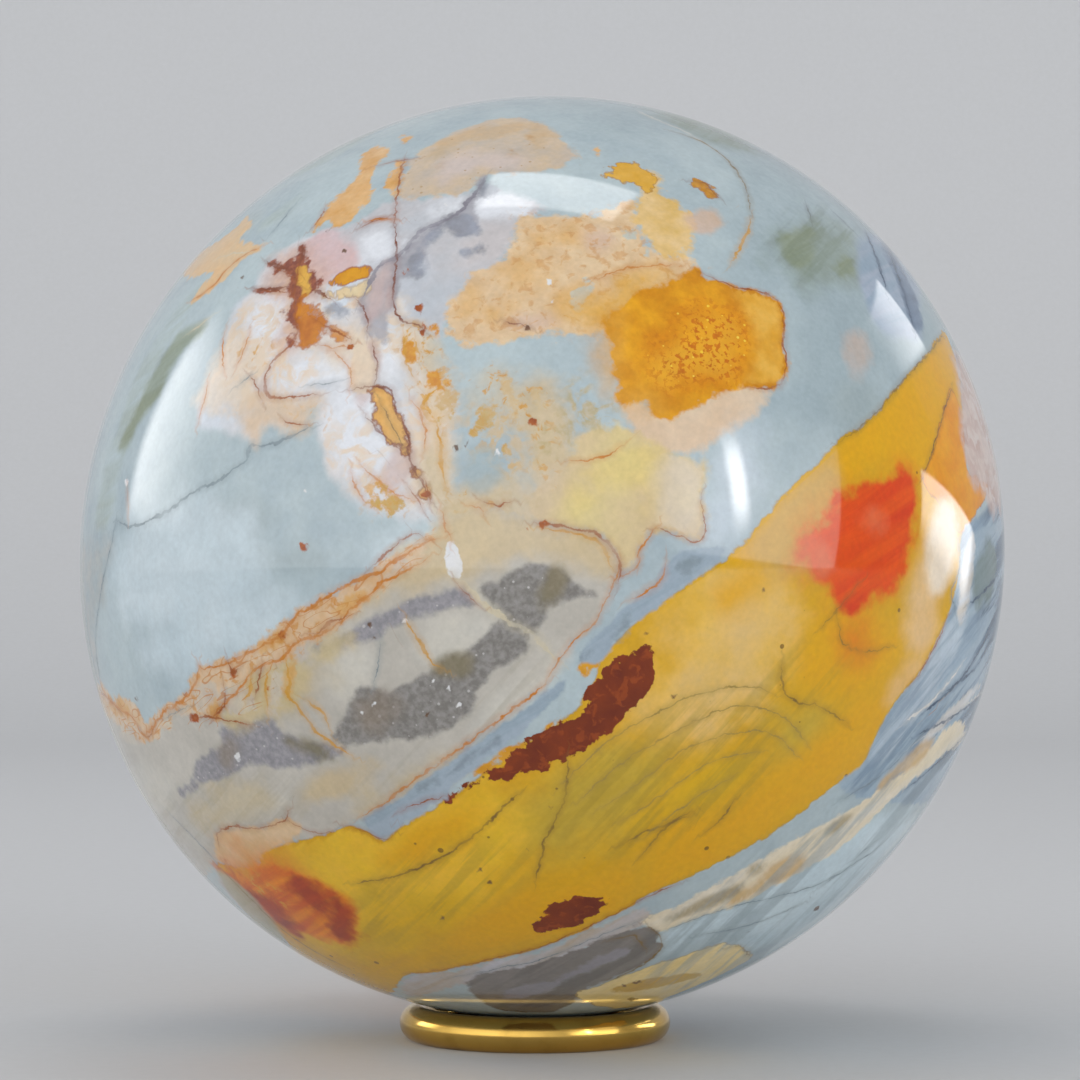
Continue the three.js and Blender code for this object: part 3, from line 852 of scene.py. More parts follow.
# %% The burst, the chips and the dark specks
burst = [
    (290, 262), (296, 251), (302, 249), (309, 258), (308, 268), (317, 276), (326, 282), (318, 288),
    (314, 294), (308, 292), (300, 296), (298, 318), (296, 340), (290, 336), (292, 300), (288, 292),
    (270, 294), (256, 290), (270, 287), (288, 286), (284, 276), (270, 270), (280, 266)]
burst_core = [(297, 268), (304, 266), (310, 276), (310, 290), (306, 298), (302, 286), (298, 278)]
orange_drop = [
    (301, 302), (310, 299), (318, 312), (326, 322), (342, 330), (350, 337), (338, 338), (322, 330),
    (318, 342), (306, 348), (298, 338)]
long_chip = [(447, 541), (455, 541), (462, 562), (464, 575), (454, 578), (446, 566)]
patch("burst_bleed", [oval(294, 278, 26, 26), oval(292, 318, 10, 24)], ("#c99c88", "#d0a890"), "grain", 3,
      6, 0.7)
patch("burst", [burst, oval(284, 310, 4, 2.5, 30), oval(276, 266, 8, 3, -20)], ("#7c3420", "#9a5030"),
      "grain", 1.6, 0.9, 0.92)
patch("burst_core", [burst_core], ("#e6b44c", "#dca23c"), "mottle", 0.8, 0.6, 0.95)
patch("orange_drop", [orange_drop], ("#c06c00", "#d68a10"), "mottle", 1.2, 0.8, 0.97,
      rim=("#a04e08", 0.5, 0.5))
patch("drop_fade", [oval(338, 332, 14, 8, -30)], ("#e0aa6c", "#e2bc90"), "mottle", 2, 3, 0.85)
patch("chips", [long_chip, oval(432, 680, 5, 4), oval(450, 688, 4, 4), oval(457, 705, 5, 3),
      oval(373, 703, 4, 3), oval(362, 711, 3, 3), oval(549, 282, 3, 3), oval(555, 300, 3, 2),
      oval(127, 482, 3, 3), oval(406, 620, 3, 2), oval(237, 757, 3, 4), oval(446, 204, 3, 2),
      oval(497, 452, 3, 3), oval(305, 490, 2, 2)], ("#e6e7ea", "#dddcd9"), "mottle", 0.5, 0.3)
patch("dark_specks", [oval(393, 692, 3, 3), oval(427, 714, 7, 2), oval(435, 729, 3, 2),
      oval(137, 699, 2, 2), oval(372, 636, 2, 3), oval(369, 623, 2, 4), oval(385, 568, 3, 3),
      oval(817, 908, 4, 2, 30), oval(747, 934, 2, 2), oval(623, 986, 4, 1.5), oval(637, 982, 4, 1.5),
      oval(632, 999, 5, 1.5), oval(243, 277, 3, 2, 30), oval(455, 448, 4, 2.5), oval(464, 446, 4, 2),
      oval(511, 323, 5, 2), oval(527, 327, 4, 3), oval(470, 440, 2, 2), oval(344, 251, 4, 1.5, 25),
      oval(328, 230, 2, 1.5), oval(708, 627, 2, 2), oval(645, 635, 3, 3), oval(699, 697, 2, 2),
      oval(675, 696, 2, 2), oval(763, 590, 2, 2), oval(617, 768, 3, 2), oval(480, 871, 3, 2),
      oval(489, 882, 2, 2), oval(441, 917, 2, 2), oval(527, 850, 2, 2), oval(550, 807, 3, 2),
      oval(599, 841, 2, 2)], ("#5d4028", "#714f34"), "grain", 0.5, 0.4, 0.9)
print(len(layers), "layers of paint")

# %% [markdown]
# ## The veins
# Cracks healed by quartz are pale, and those that carried iron run from gold through rust to
# maroon. Fine open cracks look grey or nearly black. Widths are in millimetres.

# %% Veins of the upper left
vein("rust", 0.47, [(300, 258), (297, 275), (294, 292), (295, 312), (297, 336), (285, 350), (271, 364),
     (265, 380), (270, 397), (300, 397), (318, 394)], [(270, 265), (283, 272), (296, 280)], [(252, 288),
     (264, 290), (289, 292)], [(318, 320), (330, 328), (345, 336), (352, 341)], [(372, 167), (392, 162),
     (413, 159)], [(368, 222), (380, 218), (394, 219)], [(325, 206), (322, 216), (312, 228)])
vein("orange", 0.7, [(192, 300), (205, 292), (216, 283), (228, 268), (246, 254), (262, 247)], [(368, 221),
     (381, 219), (393, 220)])
vein("rust", 0.4, [(405, 157), (400, 176), (397, 196), (395, 225)], [(384, 218), (372, 222), (360, 228)])
vein("maroon", 0.9, [(299, 268), (303, 255), (301, 245)], [(295, 272), (280, 267), (266, 261)],
     [(291, 286), (276, 289), (253, 289)], [(310, 290), (320, 293), (328, 300)])
vein("cream", 0.55, [(218, 258), (236, 253), (252, 252)], [(190, 332), (204, 322), (212, 316)])
vein("maroon", 0.43, [(349, 390), (374, 387), (389, 389), (394, 400), (398, 415), (405, 427), (409, 440),
     (408, 452), (411, 462), (417, 475), (424, 488), (430, 500)], [(366, 415), (378, 430), (390, 440),
     (402, 452)], [(395, 225), (397, 258), (394, 282), (393, 304), (400, 320), (416, 324), (424, 332)],
     [(352, 298), (362, 306), (367, 318), (367, 334)], [(691, 181), (705, 183), (709, 188), (719, 198)],
     [(505, 321), (517, 323), (530, 328)], [(372, 342), (377, 366), (374, 386)])
vein("mauve", 1.01, [(487, 176), (472, 198), (456, 214), (440, 222), (420, 232), (408, 246), (396, 258),
     (380, 264), (372, 280), (362, 298)])
vein("dark", 0.27, [(380, 402), (390, 422), (402, 444)])
vein("gold", 0.62, [(403, 335), (404, 350), (408, 366), (416, 380)], [(416, 340), (418, 356)],
     [(440, 389), (428, 395), (422, 408), (430, 418), (438, 428), (440, 450), (442, 470), (446, 486)],
     [(751, 216), (747, 232), (740, 248), (730, 264)])
vein("orange", 0.39, [(330, 350), (345, 362), (352, 376), (350, 390)], [(318, 345), (334, 348),
     (350, 346)], [(412, 398), (420, 412), (426, 436), (424, 452)], [(208, 382), (204, 400), (198, 425)],
     [(226, 330), (222, 350), (224, 372)], [(250, 330), (244, 350), (236, 366)], [(352, 472), (358, 490),
     (370, 506)], [(362, 466), (374, 476), (386, 488), (398, 494), (412, 500)], [(470, 505), (480, 508),
     (484, 514)], [(441, 512), (446, 528), (450, 541)])
vein("rust", 0.35, [(424, 479), (428, 490), (430, 502)], [(482, 500), (494, 505), (510, 503)],
     [(250, 376), (258, 388), (262, 402)], [(284, 418), (292, 424), (306, 424)], [(408, 489), (416, 498),
     (422, 508)])
vein("grey", 0.58, [(310, 428), (290, 437), (268, 446), (250, 446), (247, 461), (230, 471), (220, 480),
     (200, 488), (182, 500), (166, 512), (150, 520), (133, 527), (117, 521)])
vein("grey", 0.35, [(116, 521), (111, 544), (103, 580), (97, 620), (96, 650), (101, 685)], [(310, 385),
     (324, 384), (338, 381)], [(293, 207), (284, 218), (272, 233)], [(240, 384), (250, 376)])
vein("orange", 0.35, [(127, 488), (128, 506), (128, 519)], [(569, 461), (589, 460), (609, 454),
     (622, 445)], [(600, 278), (620, 270), (640, 266), (680, 265)])
vein("brown", 0.39, [(675, 132), (700, 141), (722, 155), (738, 173), (748, 194), (751, 216)])
vein("dark", 0.27, [(807, 205), (812, 222)], [(838, 216), (848, 226)], [(952, 388), (945, 407),
     (934, 445), (923, 475)], [(953, 345), (963, 372)], [(760, 132), (790, 152), (822, 184)], [(812, 160),
     (846, 196), (872, 226)])
vein("pale", 0.27, [(640, 112), (662, 122), (682, 130), (699, 140)])
vein("rust", 0.39, [(700, 272), (735, 287), (761, 292), (780, 304), (784, 325), (783, 345), (787, 362),
     (778, 386), (750, 388)])
vein("brown", 0.39, [(943, 334), (928, 354), (903, 380), (884, 404), (863, 425), (840, 441)])
vein("navy", 0.86, [(878, 226), (888, 247), (896, 270), (906, 300), (914, 330)], [(866, 232), (878, 262),
     (886, 290)])

# %% Veins of the braid and the bands
vein("orange", 0.58, [(198, 663), (204, 668), (228, 663), (250, 652), (272, 640), (283, 634), (296, 616),
     (312, 606), (333, 593), (346, 586), (362, 578), (378, 573), (400, 558), (420, 546), (440, 539)],
     [(213, 716), (225, 703), (238, 690), (250, 676), (262, 666), (280, 660), (293, 645), (318, 636),
     (340, 622), (354, 606), (372, 594), (382, 582), (404, 572), (428, 558)], [(100, 683), (106, 695),
     (118, 708), (133, 718), (142, 734), (154, 726), (164, 712), (184, 700), (196, 682), (199, 666)])
vein("rust", 0.55, [(223, 684), (225, 703), (214, 716)], [(262, 664), (259, 680), (255, 697)],
     [(228, 660), (232, 672), (240, 668)], [(372, 566), (384, 556), (400, 541)], [(139, 727), (147, 737),
     (155, 725)], [(195, 717), (215, 718), (240, 723), (250, 725)], [(100, 692), (112, 702), (122, 714)],
     [(310, 634), (320, 632), (330, 622), (350, 616)], [(400, 541), (414, 533), (424, 538)])
vein("gold", 0.7, [(285, 660), (290, 680), (288, 694), (302, 712), (316, 731), (336, 746), (352, 756)],
     [(405, 617), (412, 630), (422, 647), (432, 662), (441, 669)], [(268, 668), (266, 690), (268, 712)],
     [(245, 700), (250, 688), (252, 676)], [(306, 700), (322, 712), (330, 728)])
vein("grey", 0.31, [(164, 718), (178, 712), (190, 706)], [(380, 640), (378, 665), (374, 684)])
vein("cream", 0.86, [(452, 574), (465, 585), (485, 605), (510, 622), (528, 630), (545, 646), (557, 660)])
vein("rust", 0.23, [(456, 580), (466, 594), (480, 605)])
vein("orange", 0.39, [(620, 562), (617, 575), (607, 600), (594, 624), (578, 636), (563, 655), (548, 678)],
     [(640, 556), (638, 566), (628, 573), (620, 576)], [(655, 528), (646, 540), (639, 552), (637, 562)],
     [(665, 560), (664, 576), (652, 587), (630, 600)])
vein("orange", 0.5, [(546, 684), (520, 704), (485, 730), (455, 752), (415, 780), (379, 806), (362, 817)])
vein("rust", 0.62, [(539, 524), (556, 525), (572, 529), (597, 534), (609, 544), (618, 556), (621, 568),
     (618, 584)])
vein("gold", 0.7, [(545, 529), (575, 534), (596, 541), (606, 552), (612, 568)])
vein("rust", 0.27, [(702, 495), (701, 505), (705, 522), (703, 539), (690, 541), (669, 531), (655, 529)])

# %% Veins of the field and the lower edge
vein("rust", 0.39, [(219, 846), (219, 832), (235, 826), (255, 829), (283, 821), (290, 808)], [(290, 822),
     (315, 833), (330, 831)], [(345, 826), (365, 831), (382, 840), (392, 836)])
vein("brown", 0.43, [(353, 884), (400, 875), (440, 858), (478, 832), (518, 793)], [(568, 757), (568, 778),
     (564, 802), (547, 836), (540, 860), (536, 880)], [(735, 800), (722, 818), (705, 833)], [(690, 812),
     (668, 824), (645, 832), (620, 845)], [(690, 816), (665, 828), (640, 858)])
vein("brown", 0.31, [(822, 627), (843, 603), (860, 582)], [(857, 651), (873, 651), (890, 647)],
     [(782, 660), (783, 690), (800, 703), (822, 707), (848, 724)], [(838, 622), (842, 640), (850, 647)])
vein("olive", 0.3, [(604, 806), (640, 782), (680, 752), (715, 738), (752, 730), (780, 738), (796, 756)],
     [(580, 800), (620, 764), (664, 738), (706, 716), (746, 706), (786, 718), (806, 744)], [(560, 786),
     (600, 748), (650, 716), (700, 694), (744, 686), (772, 692)], [(620, 822), (660, 796), (696, 770),
     (730, 756), (758, 752)], [(640, 840), (690, 802), (730, 778)])
vein("rust", 0.35, [(408, 974), (440, 970), (500, 957), (545, 945), (600, 921), (641, 900), (660, 891),
     (676, 884)], [(947, 619), (938, 640), (922, 670), (908, 687)], [(400, 812), (417, 804), (445, 796)])
vein("grey", 0.31, [(450, 978), (500, 968), (545, 958), (600, 936), (640, 921)], [(820, 887), (850, 866),
     (880, 846), (905, 818)], [(664, 932), (700, 917), (745, 903), (770, 898), (812, 887), (845, 870)],
     [(855, 858), (870, 846)], [(172, 816), (197, 841), (216, 862)], [(958, 546), (960, 566), (952, 590),
     (955, 612)], [(840, 800), (880, 776), (915, 742), (950, 700)], [(700, 935), (750, 925), (800, 905)])
vein("brown", 0.47, [(648, 926), (660, 935), (662, 946), (650, 960), (625, 974), (595, 986)], [(612, 940),
     (635, 936), (645, 950)], [(728, 948), (740, 946), (750, 956)], [(218, 866), (250, 898), (283, 930),
     (316, 952), (345, 967)])
vein("navy", 0.7, [(1000, 600), (985, 640), (960, 680), (925, 712)], [(1003, 650), (985, 690), (955, 715),
     (918, 735)], [(998, 575), (985, 590), (968, 605)], [(990, 700), (965, 735), (935, 765), (905, 790)],
     [(996, 630), (975, 668), (945, 692)])
vein("pale", 0.62, [(920, 740), (952, 716), (985, 690)], [(905, 722), (935, 698), (962, 664)])
print(len(veins), "veins")

# %% [markdown]
# ## Measure the drawings on the ball
# Each layer of patches becomes one number for each point of the mesh: how deep it lies inside
# the nearest outline. Three layers share one attribute, which is read faster than three. A vein
# needs more than a distance, because the mesh is coarser than the vein is wide. The signed
# distance to its line passes straight through zero on it, so the line stays sharp between two
# points of the mesh. Veins that come near each other would disturb each other's signs, so they
# are dealt out into sets in which all keep their distance. Where no vein is near, a point keeps a
# distance of 9 mm and a width below nothing.

# %% Store three layers in each attribute
edge_reach = 3.0
ragged_width = 1.5
within_run = 0.6
packed = 3

measured = {}
for number, item in enumerate(layers):
    spread = ragged_width * item["ragged"] + item["soft"]
    outlines = [on_ball(rounded(outline, True)) for outline in item["outlines"]]
    here, there = (np.max([depth_inside(outline, directions, edge_reach + spread)
                           for outline in outlines], axis=0) for directions in (spots, far_spots))
    room = room_on_front(number)
    depth = np.maximum(np.minimum(here, room), np.minimum(there, -room))
    if item["within"]:
        depth = np.minimum(depth, measured[item["within"]] * spread / within_run - spread / 2)
    measured[item["name"]] = depth
columns = list(measured.values()) + [np.zeros(len(spots))] * (-len(layers) % packed)
for first in range(0, len(layers), packed):
    store(f"depths_{first}", np.stack(columns[first:first + packed], 1))
print("measured", len(layers), "layers on", len(spots), "points")

# %% Deal the veins into sets and store them
vein_guard = 1.7
vein_taper = 2.5
vein_reach = 8
vein_gap = 0.6
far_off = 12.0
no_vein = (9.0, -1.0, 0.5)
tones = {"pale": 0.0, "cream": 0.1, "gold": 0.2, "olive": 0.3, "orange": 0.4, "rust": 0.5, "brown": 0.6,
         "maroon": 0.7, "mauve": 0.78, "grey": 0.86, "navy": 0.93, "dark": 1.0}

vein_sets = []
for number, item in enumerate(veins):
    item["path"] = on_ball(rounded(item["line"], False))
    item["room"] = room_on_front(number)
    for group in vein_sets:
        apart = max((item["path"] @ other["path"].T).max() for other in group)
        if math.acos(min(apart, 1.0)) * ball_millimetres > 2 * vein_guard + vein_gap:
            group.append(item)
            break
    else:
        vein_sets.append([item])

for number, group in enumerate(vein_sets):
    values = np.tile(np.array(no_vein, np.float32), (len(spots), 1))
    closest = np.full(len(spots), far_off)
    for item in group:
        path = item["path"]
        middle = path.mean(0)
        middle /= np.linalg.norm(middle)
        limit = math.acos(np.clip((path @ middle).min(), -1, 1)) + vein_reach / ball_millimetres
        line, _ = flattened(path, middle)
        lengths = np.linalg.norm(np.diff(path, axis=0), axis=1) * ball_millimetres
        taper = min(vein_taper, lengths.sum() / 3)
        for directions, room in ((spots, item["room"]), (far_spots, -item["room"])):
            near = np.nonzero((directions @ middle > math.cos(limit)) & (room > 0))[0]
            chart, scale = flattened(directions[near], middle)
            distance, side, along = nearest_segment(chart, line[:-1], line[1:])
            distance *= ball_millimetres / scale
            marks = np.concatenate([[0], np.cumsum(lengths)])
            walked = np.interp(along, np.arange(len(path)), marks)
            thinning = np.clip(np.minimum(walked, lengths.sum() - walked) / taper, 0, 1)
            half = item["width"] / 2 * thinning * np.clip(room[near] / 2, 0, 1)
            half[distance > vein_guard + item["width"]] = -1
            better = distance < closest[near]
            chosen = near[better]
            closest[chosen] = distance[better]
            values[chosen, 0] = (distance * side)[better]
            values[chosen, 1] = half[better]
            values[chosen, 2] = tones[item["tone"]]
    store(f"veins_{number}", values)
print("dealt the veins into", len(vein_sets), "sets")

# %% [markdown]
# ## The stone: polished jasper
# Jasper is quartz so fine-grained that no crystal shows. Ground and polished with ever finer
# grit, it takes a glassy surface: sharp reflections that are faint in the middle and strong
# towards the edge, over colours that lie fully opaque right beneath. Its textures are shared by
# all layers: clouds of 15 mm, mottling of 4.5 mm, grain of under 1 mm, and a flow drawn out into
# sheets along the beds. Two more, a fine one and a broad one, make the patches' edges ragged.

# %% Textures that all layers share
jasper.use_nodes = True
stone = jasper.node_tree
stone.nodes.clear()
place = add(stone, "ShaderNodeTexCoord").outputs["Object"]


def texture_of(size_mm, detail, seed, low=0.0, high=1.0, stretch=1.0, distortion=0.0, slope=33):
    """Noise whose lumps have a real size, spread so that low becomes 0 and high becomes 1."""
    size = size_mm * millimetre
    laid = add(stone, "ShaderNodeMapping",
               {"Vector": place, "Location": (seed, 0, 0), "Rotation": (0, -math.radians(slope), 0),
                "Scale": (size * stretch, size * stretch, size)}, vector_type="TEXTURE")
    noise = add(stone, "ShaderNodeTexNoise", {"Vector": laid, "Scale": 1, "Detail": detail,
                                              "Roughness": 0.55, "Distortion": distortion})
    return add(stone, "ShaderNodeMapRange", {"Value": noise, "From Min": low, "From Max": high}, clamp=False)


textures = {
    "cloud": texture_of(15, 5, 0.3, 0.36, 0.64),
    "mottle": texture_of(4.5, 6, 0.7, 0.34, 0.66),
    "grain": texture_of(0.9, 3, 1.1, 0.36, 0.64),
    "flow": texture_of(2.6, 5, 1.9, 0.36, 0.64, stretch=9, distortion=0.6),
}
ragged_edges = {}
for name, noise in (("fine", texture_of(2.4, 8, 2.3, 0.32, 0.68)),
                    ("broad", texture_of(7, 4, 2.7, 0.3, 0.7))):
    ragged_edges[name] = add(stone, "ShaderNodeMath", {0: noise, 1: 0.5}, operation="SUBTRACT")
print("textures:", ", ".join(textures))

# %% [markdown]
# ## Masks
# A mask breaks a patch up: into soft wisps, sparse blotches, streaks along the beds, a net of
# hair-thin veinlets, crumbs, or round dots and specks of which only a share shows.

# %% Masks that break a patch up
def dots_of(spacing_mm, radius_mm, share, seed):
    """Round dots of up to a given radius, in a share of the cells of a random pattern."""
    size = spacing_mm * millimetre
    laid = add(stone, "ShaderNodeMapping", {"Vector": place, "Location": (seed, 0, 0),
                                            "Scale": (size, size, size)}, vector_type="TEXTURE")
    cells = add(stone, "ShaderNodeTexVoronoi", {"Vector": laid, "Scale": 1.0})
    chance = add(stone, "ShaderNodeSeparateColor", {0: cells.outputs["Color"]})
    radius = add(stone, "ShaderNodeMath",
                 {0: chance, 1: radius_mm / spacing_mm / share, 2: radius_mm / spacing_mm * (1 - 1 / share)},
                 operation="MULTIPLY_ADD")
    return add(stone, "ShaderNodeMath", {0: radius, 1: cells.outputs["Distance"]}, operation="SUBTRACT")


ripples = add(stone, "ShaderNodeMath", {0: texture_of(3.4, 1.5, 4.9, stretch=3.2, distortion=0.4), 1: 6},
              operation="MULTIPLY")
masks = {}
for name, pattern, start, end in (
        ("wisps", texture_of(3.0, 6, 3.3, distortion=0.8), 0.44, 0.60),
        ("sparse", texture_of(1.8, 7, 3.7, distortion=0.5), 0.53, 0.63),
        ("streaks", texture_of(1.9, 4, 4.6, stretch=14, slope=48), 0.46, 0.60),
        ("veinlets", add(stone, "ShaderNodeMath", {0: ripples, 1: 0.5}, operation="PINGPONG"), 0.44, 0.47),
        ("crumbs", texture_of(0.8, 3, 4.1, distortion=0.4), 0.52, 0.60),
        ("dots", dots_of(3.6, 0.6, 0.5, 5.3), 0.0, 0.1 / 3.6),
        ("specks", dots_of(1.1, 0.30, 0.7, 6.1), 0.0, 0.1 / 1.1)):
    masks[name] = add(stone, "ShaderNodeMapRange", {"Value": pattern, "From Min": start, "From Max": end},
                      interpolation_type="SMOOTHSTEP", clamp=False)
print("masks:", ", ".join(masks))

# %% [markdown]
# ## Painting the layers
# Each layer is mixed over the ones before it, in one long chain. The renderer keeps only a few
# values in hand while it works down such a chain. So the nodes are made in the order in which they
# are used, none of them clamps its result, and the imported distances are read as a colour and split
# as one: a clamp or a change of type would each keep one more value in hand for every layer.

# %% Paint the ground and the layers
colour = add(stone, "ShaderNodeMix", {0: textures["cloud"], 6: linear("#b5c5ca"), 7: linear("#a5b6be")},
             data_type="RGBA").outputs[2]
part_way = add(stone, "ShaderNodeMath", {0: textures["mottle"], 1: 0.35}, operation="MULTIPLY")
colour = add(stone, "ShaderNodeMix", {0: part_way, 6: colour, 7: linear("#b3bfbf")},
             data_type="RGBA").outputs[2]
for number, item in enumerate(layers):
    if number % packed == 0:
        stored = add(stone, "ShaderNodeAttribute", attribute_name=f"depths_{number}").outputs["Color"]
        depths = add(stone, "ShaderNodeSeparateColor", {0: stored}).outputs
    edge = add(stone, "ShaderNodeMath",
               {0: ragged_edges["fine" if item["soft"] < 2 else "broad"],
                1: ragged_width * item["ragged"], 2: depths[number % packed]}, operation="MULTIPLY_ADD")
    cover = add(stone, "ShaderNodeMapRange",
                {"Value": edge, "From Min": -item["soft"] / 2, "From Max": item["soft"] / 2,
                 "To Max": item["strength"]}, interpolation_type="SMOOTHSTEP", clamp=False)
    if item["mask"]:
        cover = add(stone, "ShaderNodeMath", {0: cover, 1: masks[item["mask"]]}, operation="MULTIPLY")
    first, second = map(linear, item["colours"])
    tint = add(stone, "ShaderNodeMix", {0: textures[item["texture"]], 6: first, 7: second}, data_type="RGBA")
    colour = add(stone, "ShaderNodeMix", {0: cover, 6: colour, 7: tint.outputs[2]},
                 data_type="RGBA").outputs[2]
    if item["rim"]:
        rim_colour, rim_width, rim_strength = item["rim"]
        off = add(stone, "ShaderNodeMath", {0: edge}, operation="ABSOLUTE")
        line = add(stone, "ShaderNodeMapRange", {"Value": off, "From Min": rim_width, "From Max": 0.0,
                                                 "To Max": rim_strength}, clamp=False)
        colour = add(stone, "ShaderNodeMix", {0: line, 6: colour, 7: linear(rim_colour)},
                     data_type="RGBA").outputs[2]
print("painted", len(layers), "layers")

# %% [markdown]
# ## The veins over them
# A vein wanders a little to either side of its line and swells and thins along its way. Beside it,
# the stone is faintly stained.

# %% Draw the veins over them
vein_colours = {"pale": "#dedbd4", "cream": "#cfc4a8", "gold": "#cc942a", "olive": "#9c8440",
                "orange": "#c47a2c", "rust": "#98501a", "brown": "#806428", "maroon": "#7c4128",
                "mauve": "#84818c", "grey": "#78868c", "navy": "#3a4f68", "dark": "#433b34"}
swing, swelling, strength = (
    add(stone, "ShaderNodeMath", {0: pattern, 1: share, 2: least}, operation="MULTIPLY_ADD")
    for pattern, share, least in ((texture_of(1.6, 5, 3.1, 0.3, 0.7), 0.6, -0.3),
                                  (texture_of(2.4, 4, 7.1, 0.3, 0.7), 0.9, 0.3),
                                  (texture_of(4, 3, 7.7, 0.35, 0.65), 0.5, 0.5)))
for number in range(len(vein_sets)):
    stored = add(stone, "ShaderNodeAttribute", attribute_name=f"veins_{number}").outputs["Color"]
    side, half, tone = add(stone, "ShaderNodeSeparateColor", {0: stored}).outputs
    swung = add(stone, "ShaderNodeMath", {0: side, 1: swing}, operation="ADD")
    off = add(stone, "ShaderNodeMath", {0: swung}, operation="ABSOLUTE")
    wide = add(stone, "ShaderNodeMath", {0: half, 1: swelling}, operation="MULTIPLY")
    inside = add(stone, "ShaderNodeMath", {0: wide, 1: off}, operation="SUBTRACT")
    sharp, stain = (
        add(stone, "ShaderNodeMapRange", {"Value": inside, "From Min": low, "From Max": high, "To Max": most},
            interpolation_type="SMOOTHSTEP", clamp=False)
        for low, high, most in ((-0.15, 0.12, strength), (-1.0, 0.0, 0.22)))
    cover = add(stone, "ShaderNodeMath", {0: sharp, 1: stain}, operation="MAXIMUM")
    ramp = add(stone, "ShaderNodeValToRGB", {0: tone})
    stops = ramp.color_ramp.elements
    for name, position in tones.items():
        stop = stops[0] if position == 0 else stops[-1] if position == 1 else stops.new(position)
        stop.color = linear(vein_colours[name])
    colour = add(stone, "ShaderNodeMix", {0: cover, 6: colour, 7: ramp}, data_type="RGBA").outputs[2]
print("drew", len(veins), "veins")

# %% Finish the stone's surface
grainy = add(stone, "ShaderNodeMapRange", {"Value": textures["grain"], "To Min": -0.04, "To Max": 0.03},
             clamp=False)
mottled = add(stone, "ShaderNodeMath", {0: textures["mottle"], 1: 0.08, 2: grainy},
              operation="MULTIPLY_ADD")
bright = add(stone, "ShaderNodeMath", {0: mottled, 1: 0.97}, operation="ADD")
colour = add(stone, "ShaderNodeVectorMath", {0: colour, "Scale": bright}, operation="SCALE")
gloss = add(stone, "ShaderNodeMapRange", {"Value": textures["mottle"], "To Min": 0.03, "To Max": 0.06},
            clamp=False)
skin = add(stone, "ShaderNodeBsdfPrincipled", {"Base Color": colour, "Roughness": gloss, "IOR": 1.54})
add(stone, "ShaderNodeOutputMaterial", {"Surface": skin})
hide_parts("jasper_sphere")
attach(ball, "sphere")
print("the stone's material has", len(stone.nodes), "nodes")

# %% [markdown]
# ## The brass ring
# The stand is a round brass bar bent to a circle, brazed shut and polished on a buffing wheel.
# A circle swept round a circle gives it, with its underside pressed flat where it is rubbed down.

# %% Sweep the bar round its circle
ring_low, ring_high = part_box("brass_ring")
foot_depth = 0.2 * millimetre
bar_diameter = ring_high.z - ring_low.z + foot_depth
ring_outside = min(ring_high.x - ring_low.x, ring_high.y - ring_low.y)
bar_circle = (ring_outside - bar_diameter) / 2


def swept_ring_tree():
    tree = bpy.data.node_groups.new("swept_ring", "GeometryNodeTree")
    for name, kind in (("Bar Radius", "NodeSocketFloat"), ("Circle Radius", "NodeSocketFloat"),
                       ("Bar Height", "NodeSocketFloat"), ("Brass", "NodeSocketMaterial")):
        tree.interface.new_socket(name, in_out="INPUT", socket_type=kind)
    tree.interface.new_socket("Geometry", in_out="OUTPUT", socket_type="NodeSocketGeometry")
    given = add(tree, "NodeGroupInput").outputs
    path = add(tree, "GeometryNodeCurvePrimitiveCircle",
               {"Resolution": 360, "Radius": given["Circle Radius"]})
    section = add(tree, "GeometryNodeCurvePrimitiveCircle",
                  {"Resolution": 64, "Radius": given["Bar Radius"]})
    bar = add(tree, "GeometryNodeCurveToMesh", {"Curve": path, "Profile Curve": section})
    lift = add(tree, "ShaderNodeCombineXYZ", {2: given["Bar Height"]})
    raised = add(tree, "GeometryNodeTransform", {"Geometry": bar, "Translation": lift})
    place = add(tree, "ShaderNodeSeparateXYZ", {0: add(tree, "GeometryNodeInputPosition")}).outputs
    pressed = add(tree, "ShaderNodeMath", {0: place["Z"], 1: 0}, operation="MAXIMUM")
    flat = add(tree, "ShaderNodeCombineXYZ", {0: place["X"], 1: place["Y"], 2: pressed})
    footed = add(tree, "GeometryNodeSetPosition", {"Geometry": raised, "Position": flat})
    smooth = add(tree, "GeometryNodeSetShadeSmooth", {"Geometry": footed})
    real = add(tree, "GeometryNodeRealizeInstances", {"Geometry": smooth})
    brass = add(tree, "GeometryNodeSetMaterial", {"Geometry": real, "Material": given["Brass"]})
    add(tree, "NodeGroupOutput", {0: brass})
    return tree


polished_brass = bpy.data.materials.new("buffed_brass")
ring = plain_mesh_from_tree("brass_ring_stand", swept_ring_tree(), {
    "Bar Radius": bar_diameter / 2, "Circle Radius": bar_circle,
    "Bar Height": bar_diameter / 2 - foot_depth, "Brass": polished_brass})
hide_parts("brass_ring")
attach(ring, "stand")

# %% [markdown]
# ## The brass: buffed yellow brass
# Buffing leaves hairlines that run round the ring, a tenth of a millimetre wide and many
# millimetres long. They stretch each highlight along the bar. Air has browned the metal a
# little in patches, and the lowest part of the bar is painted darker and duller, as painted
# shade towards the floor.

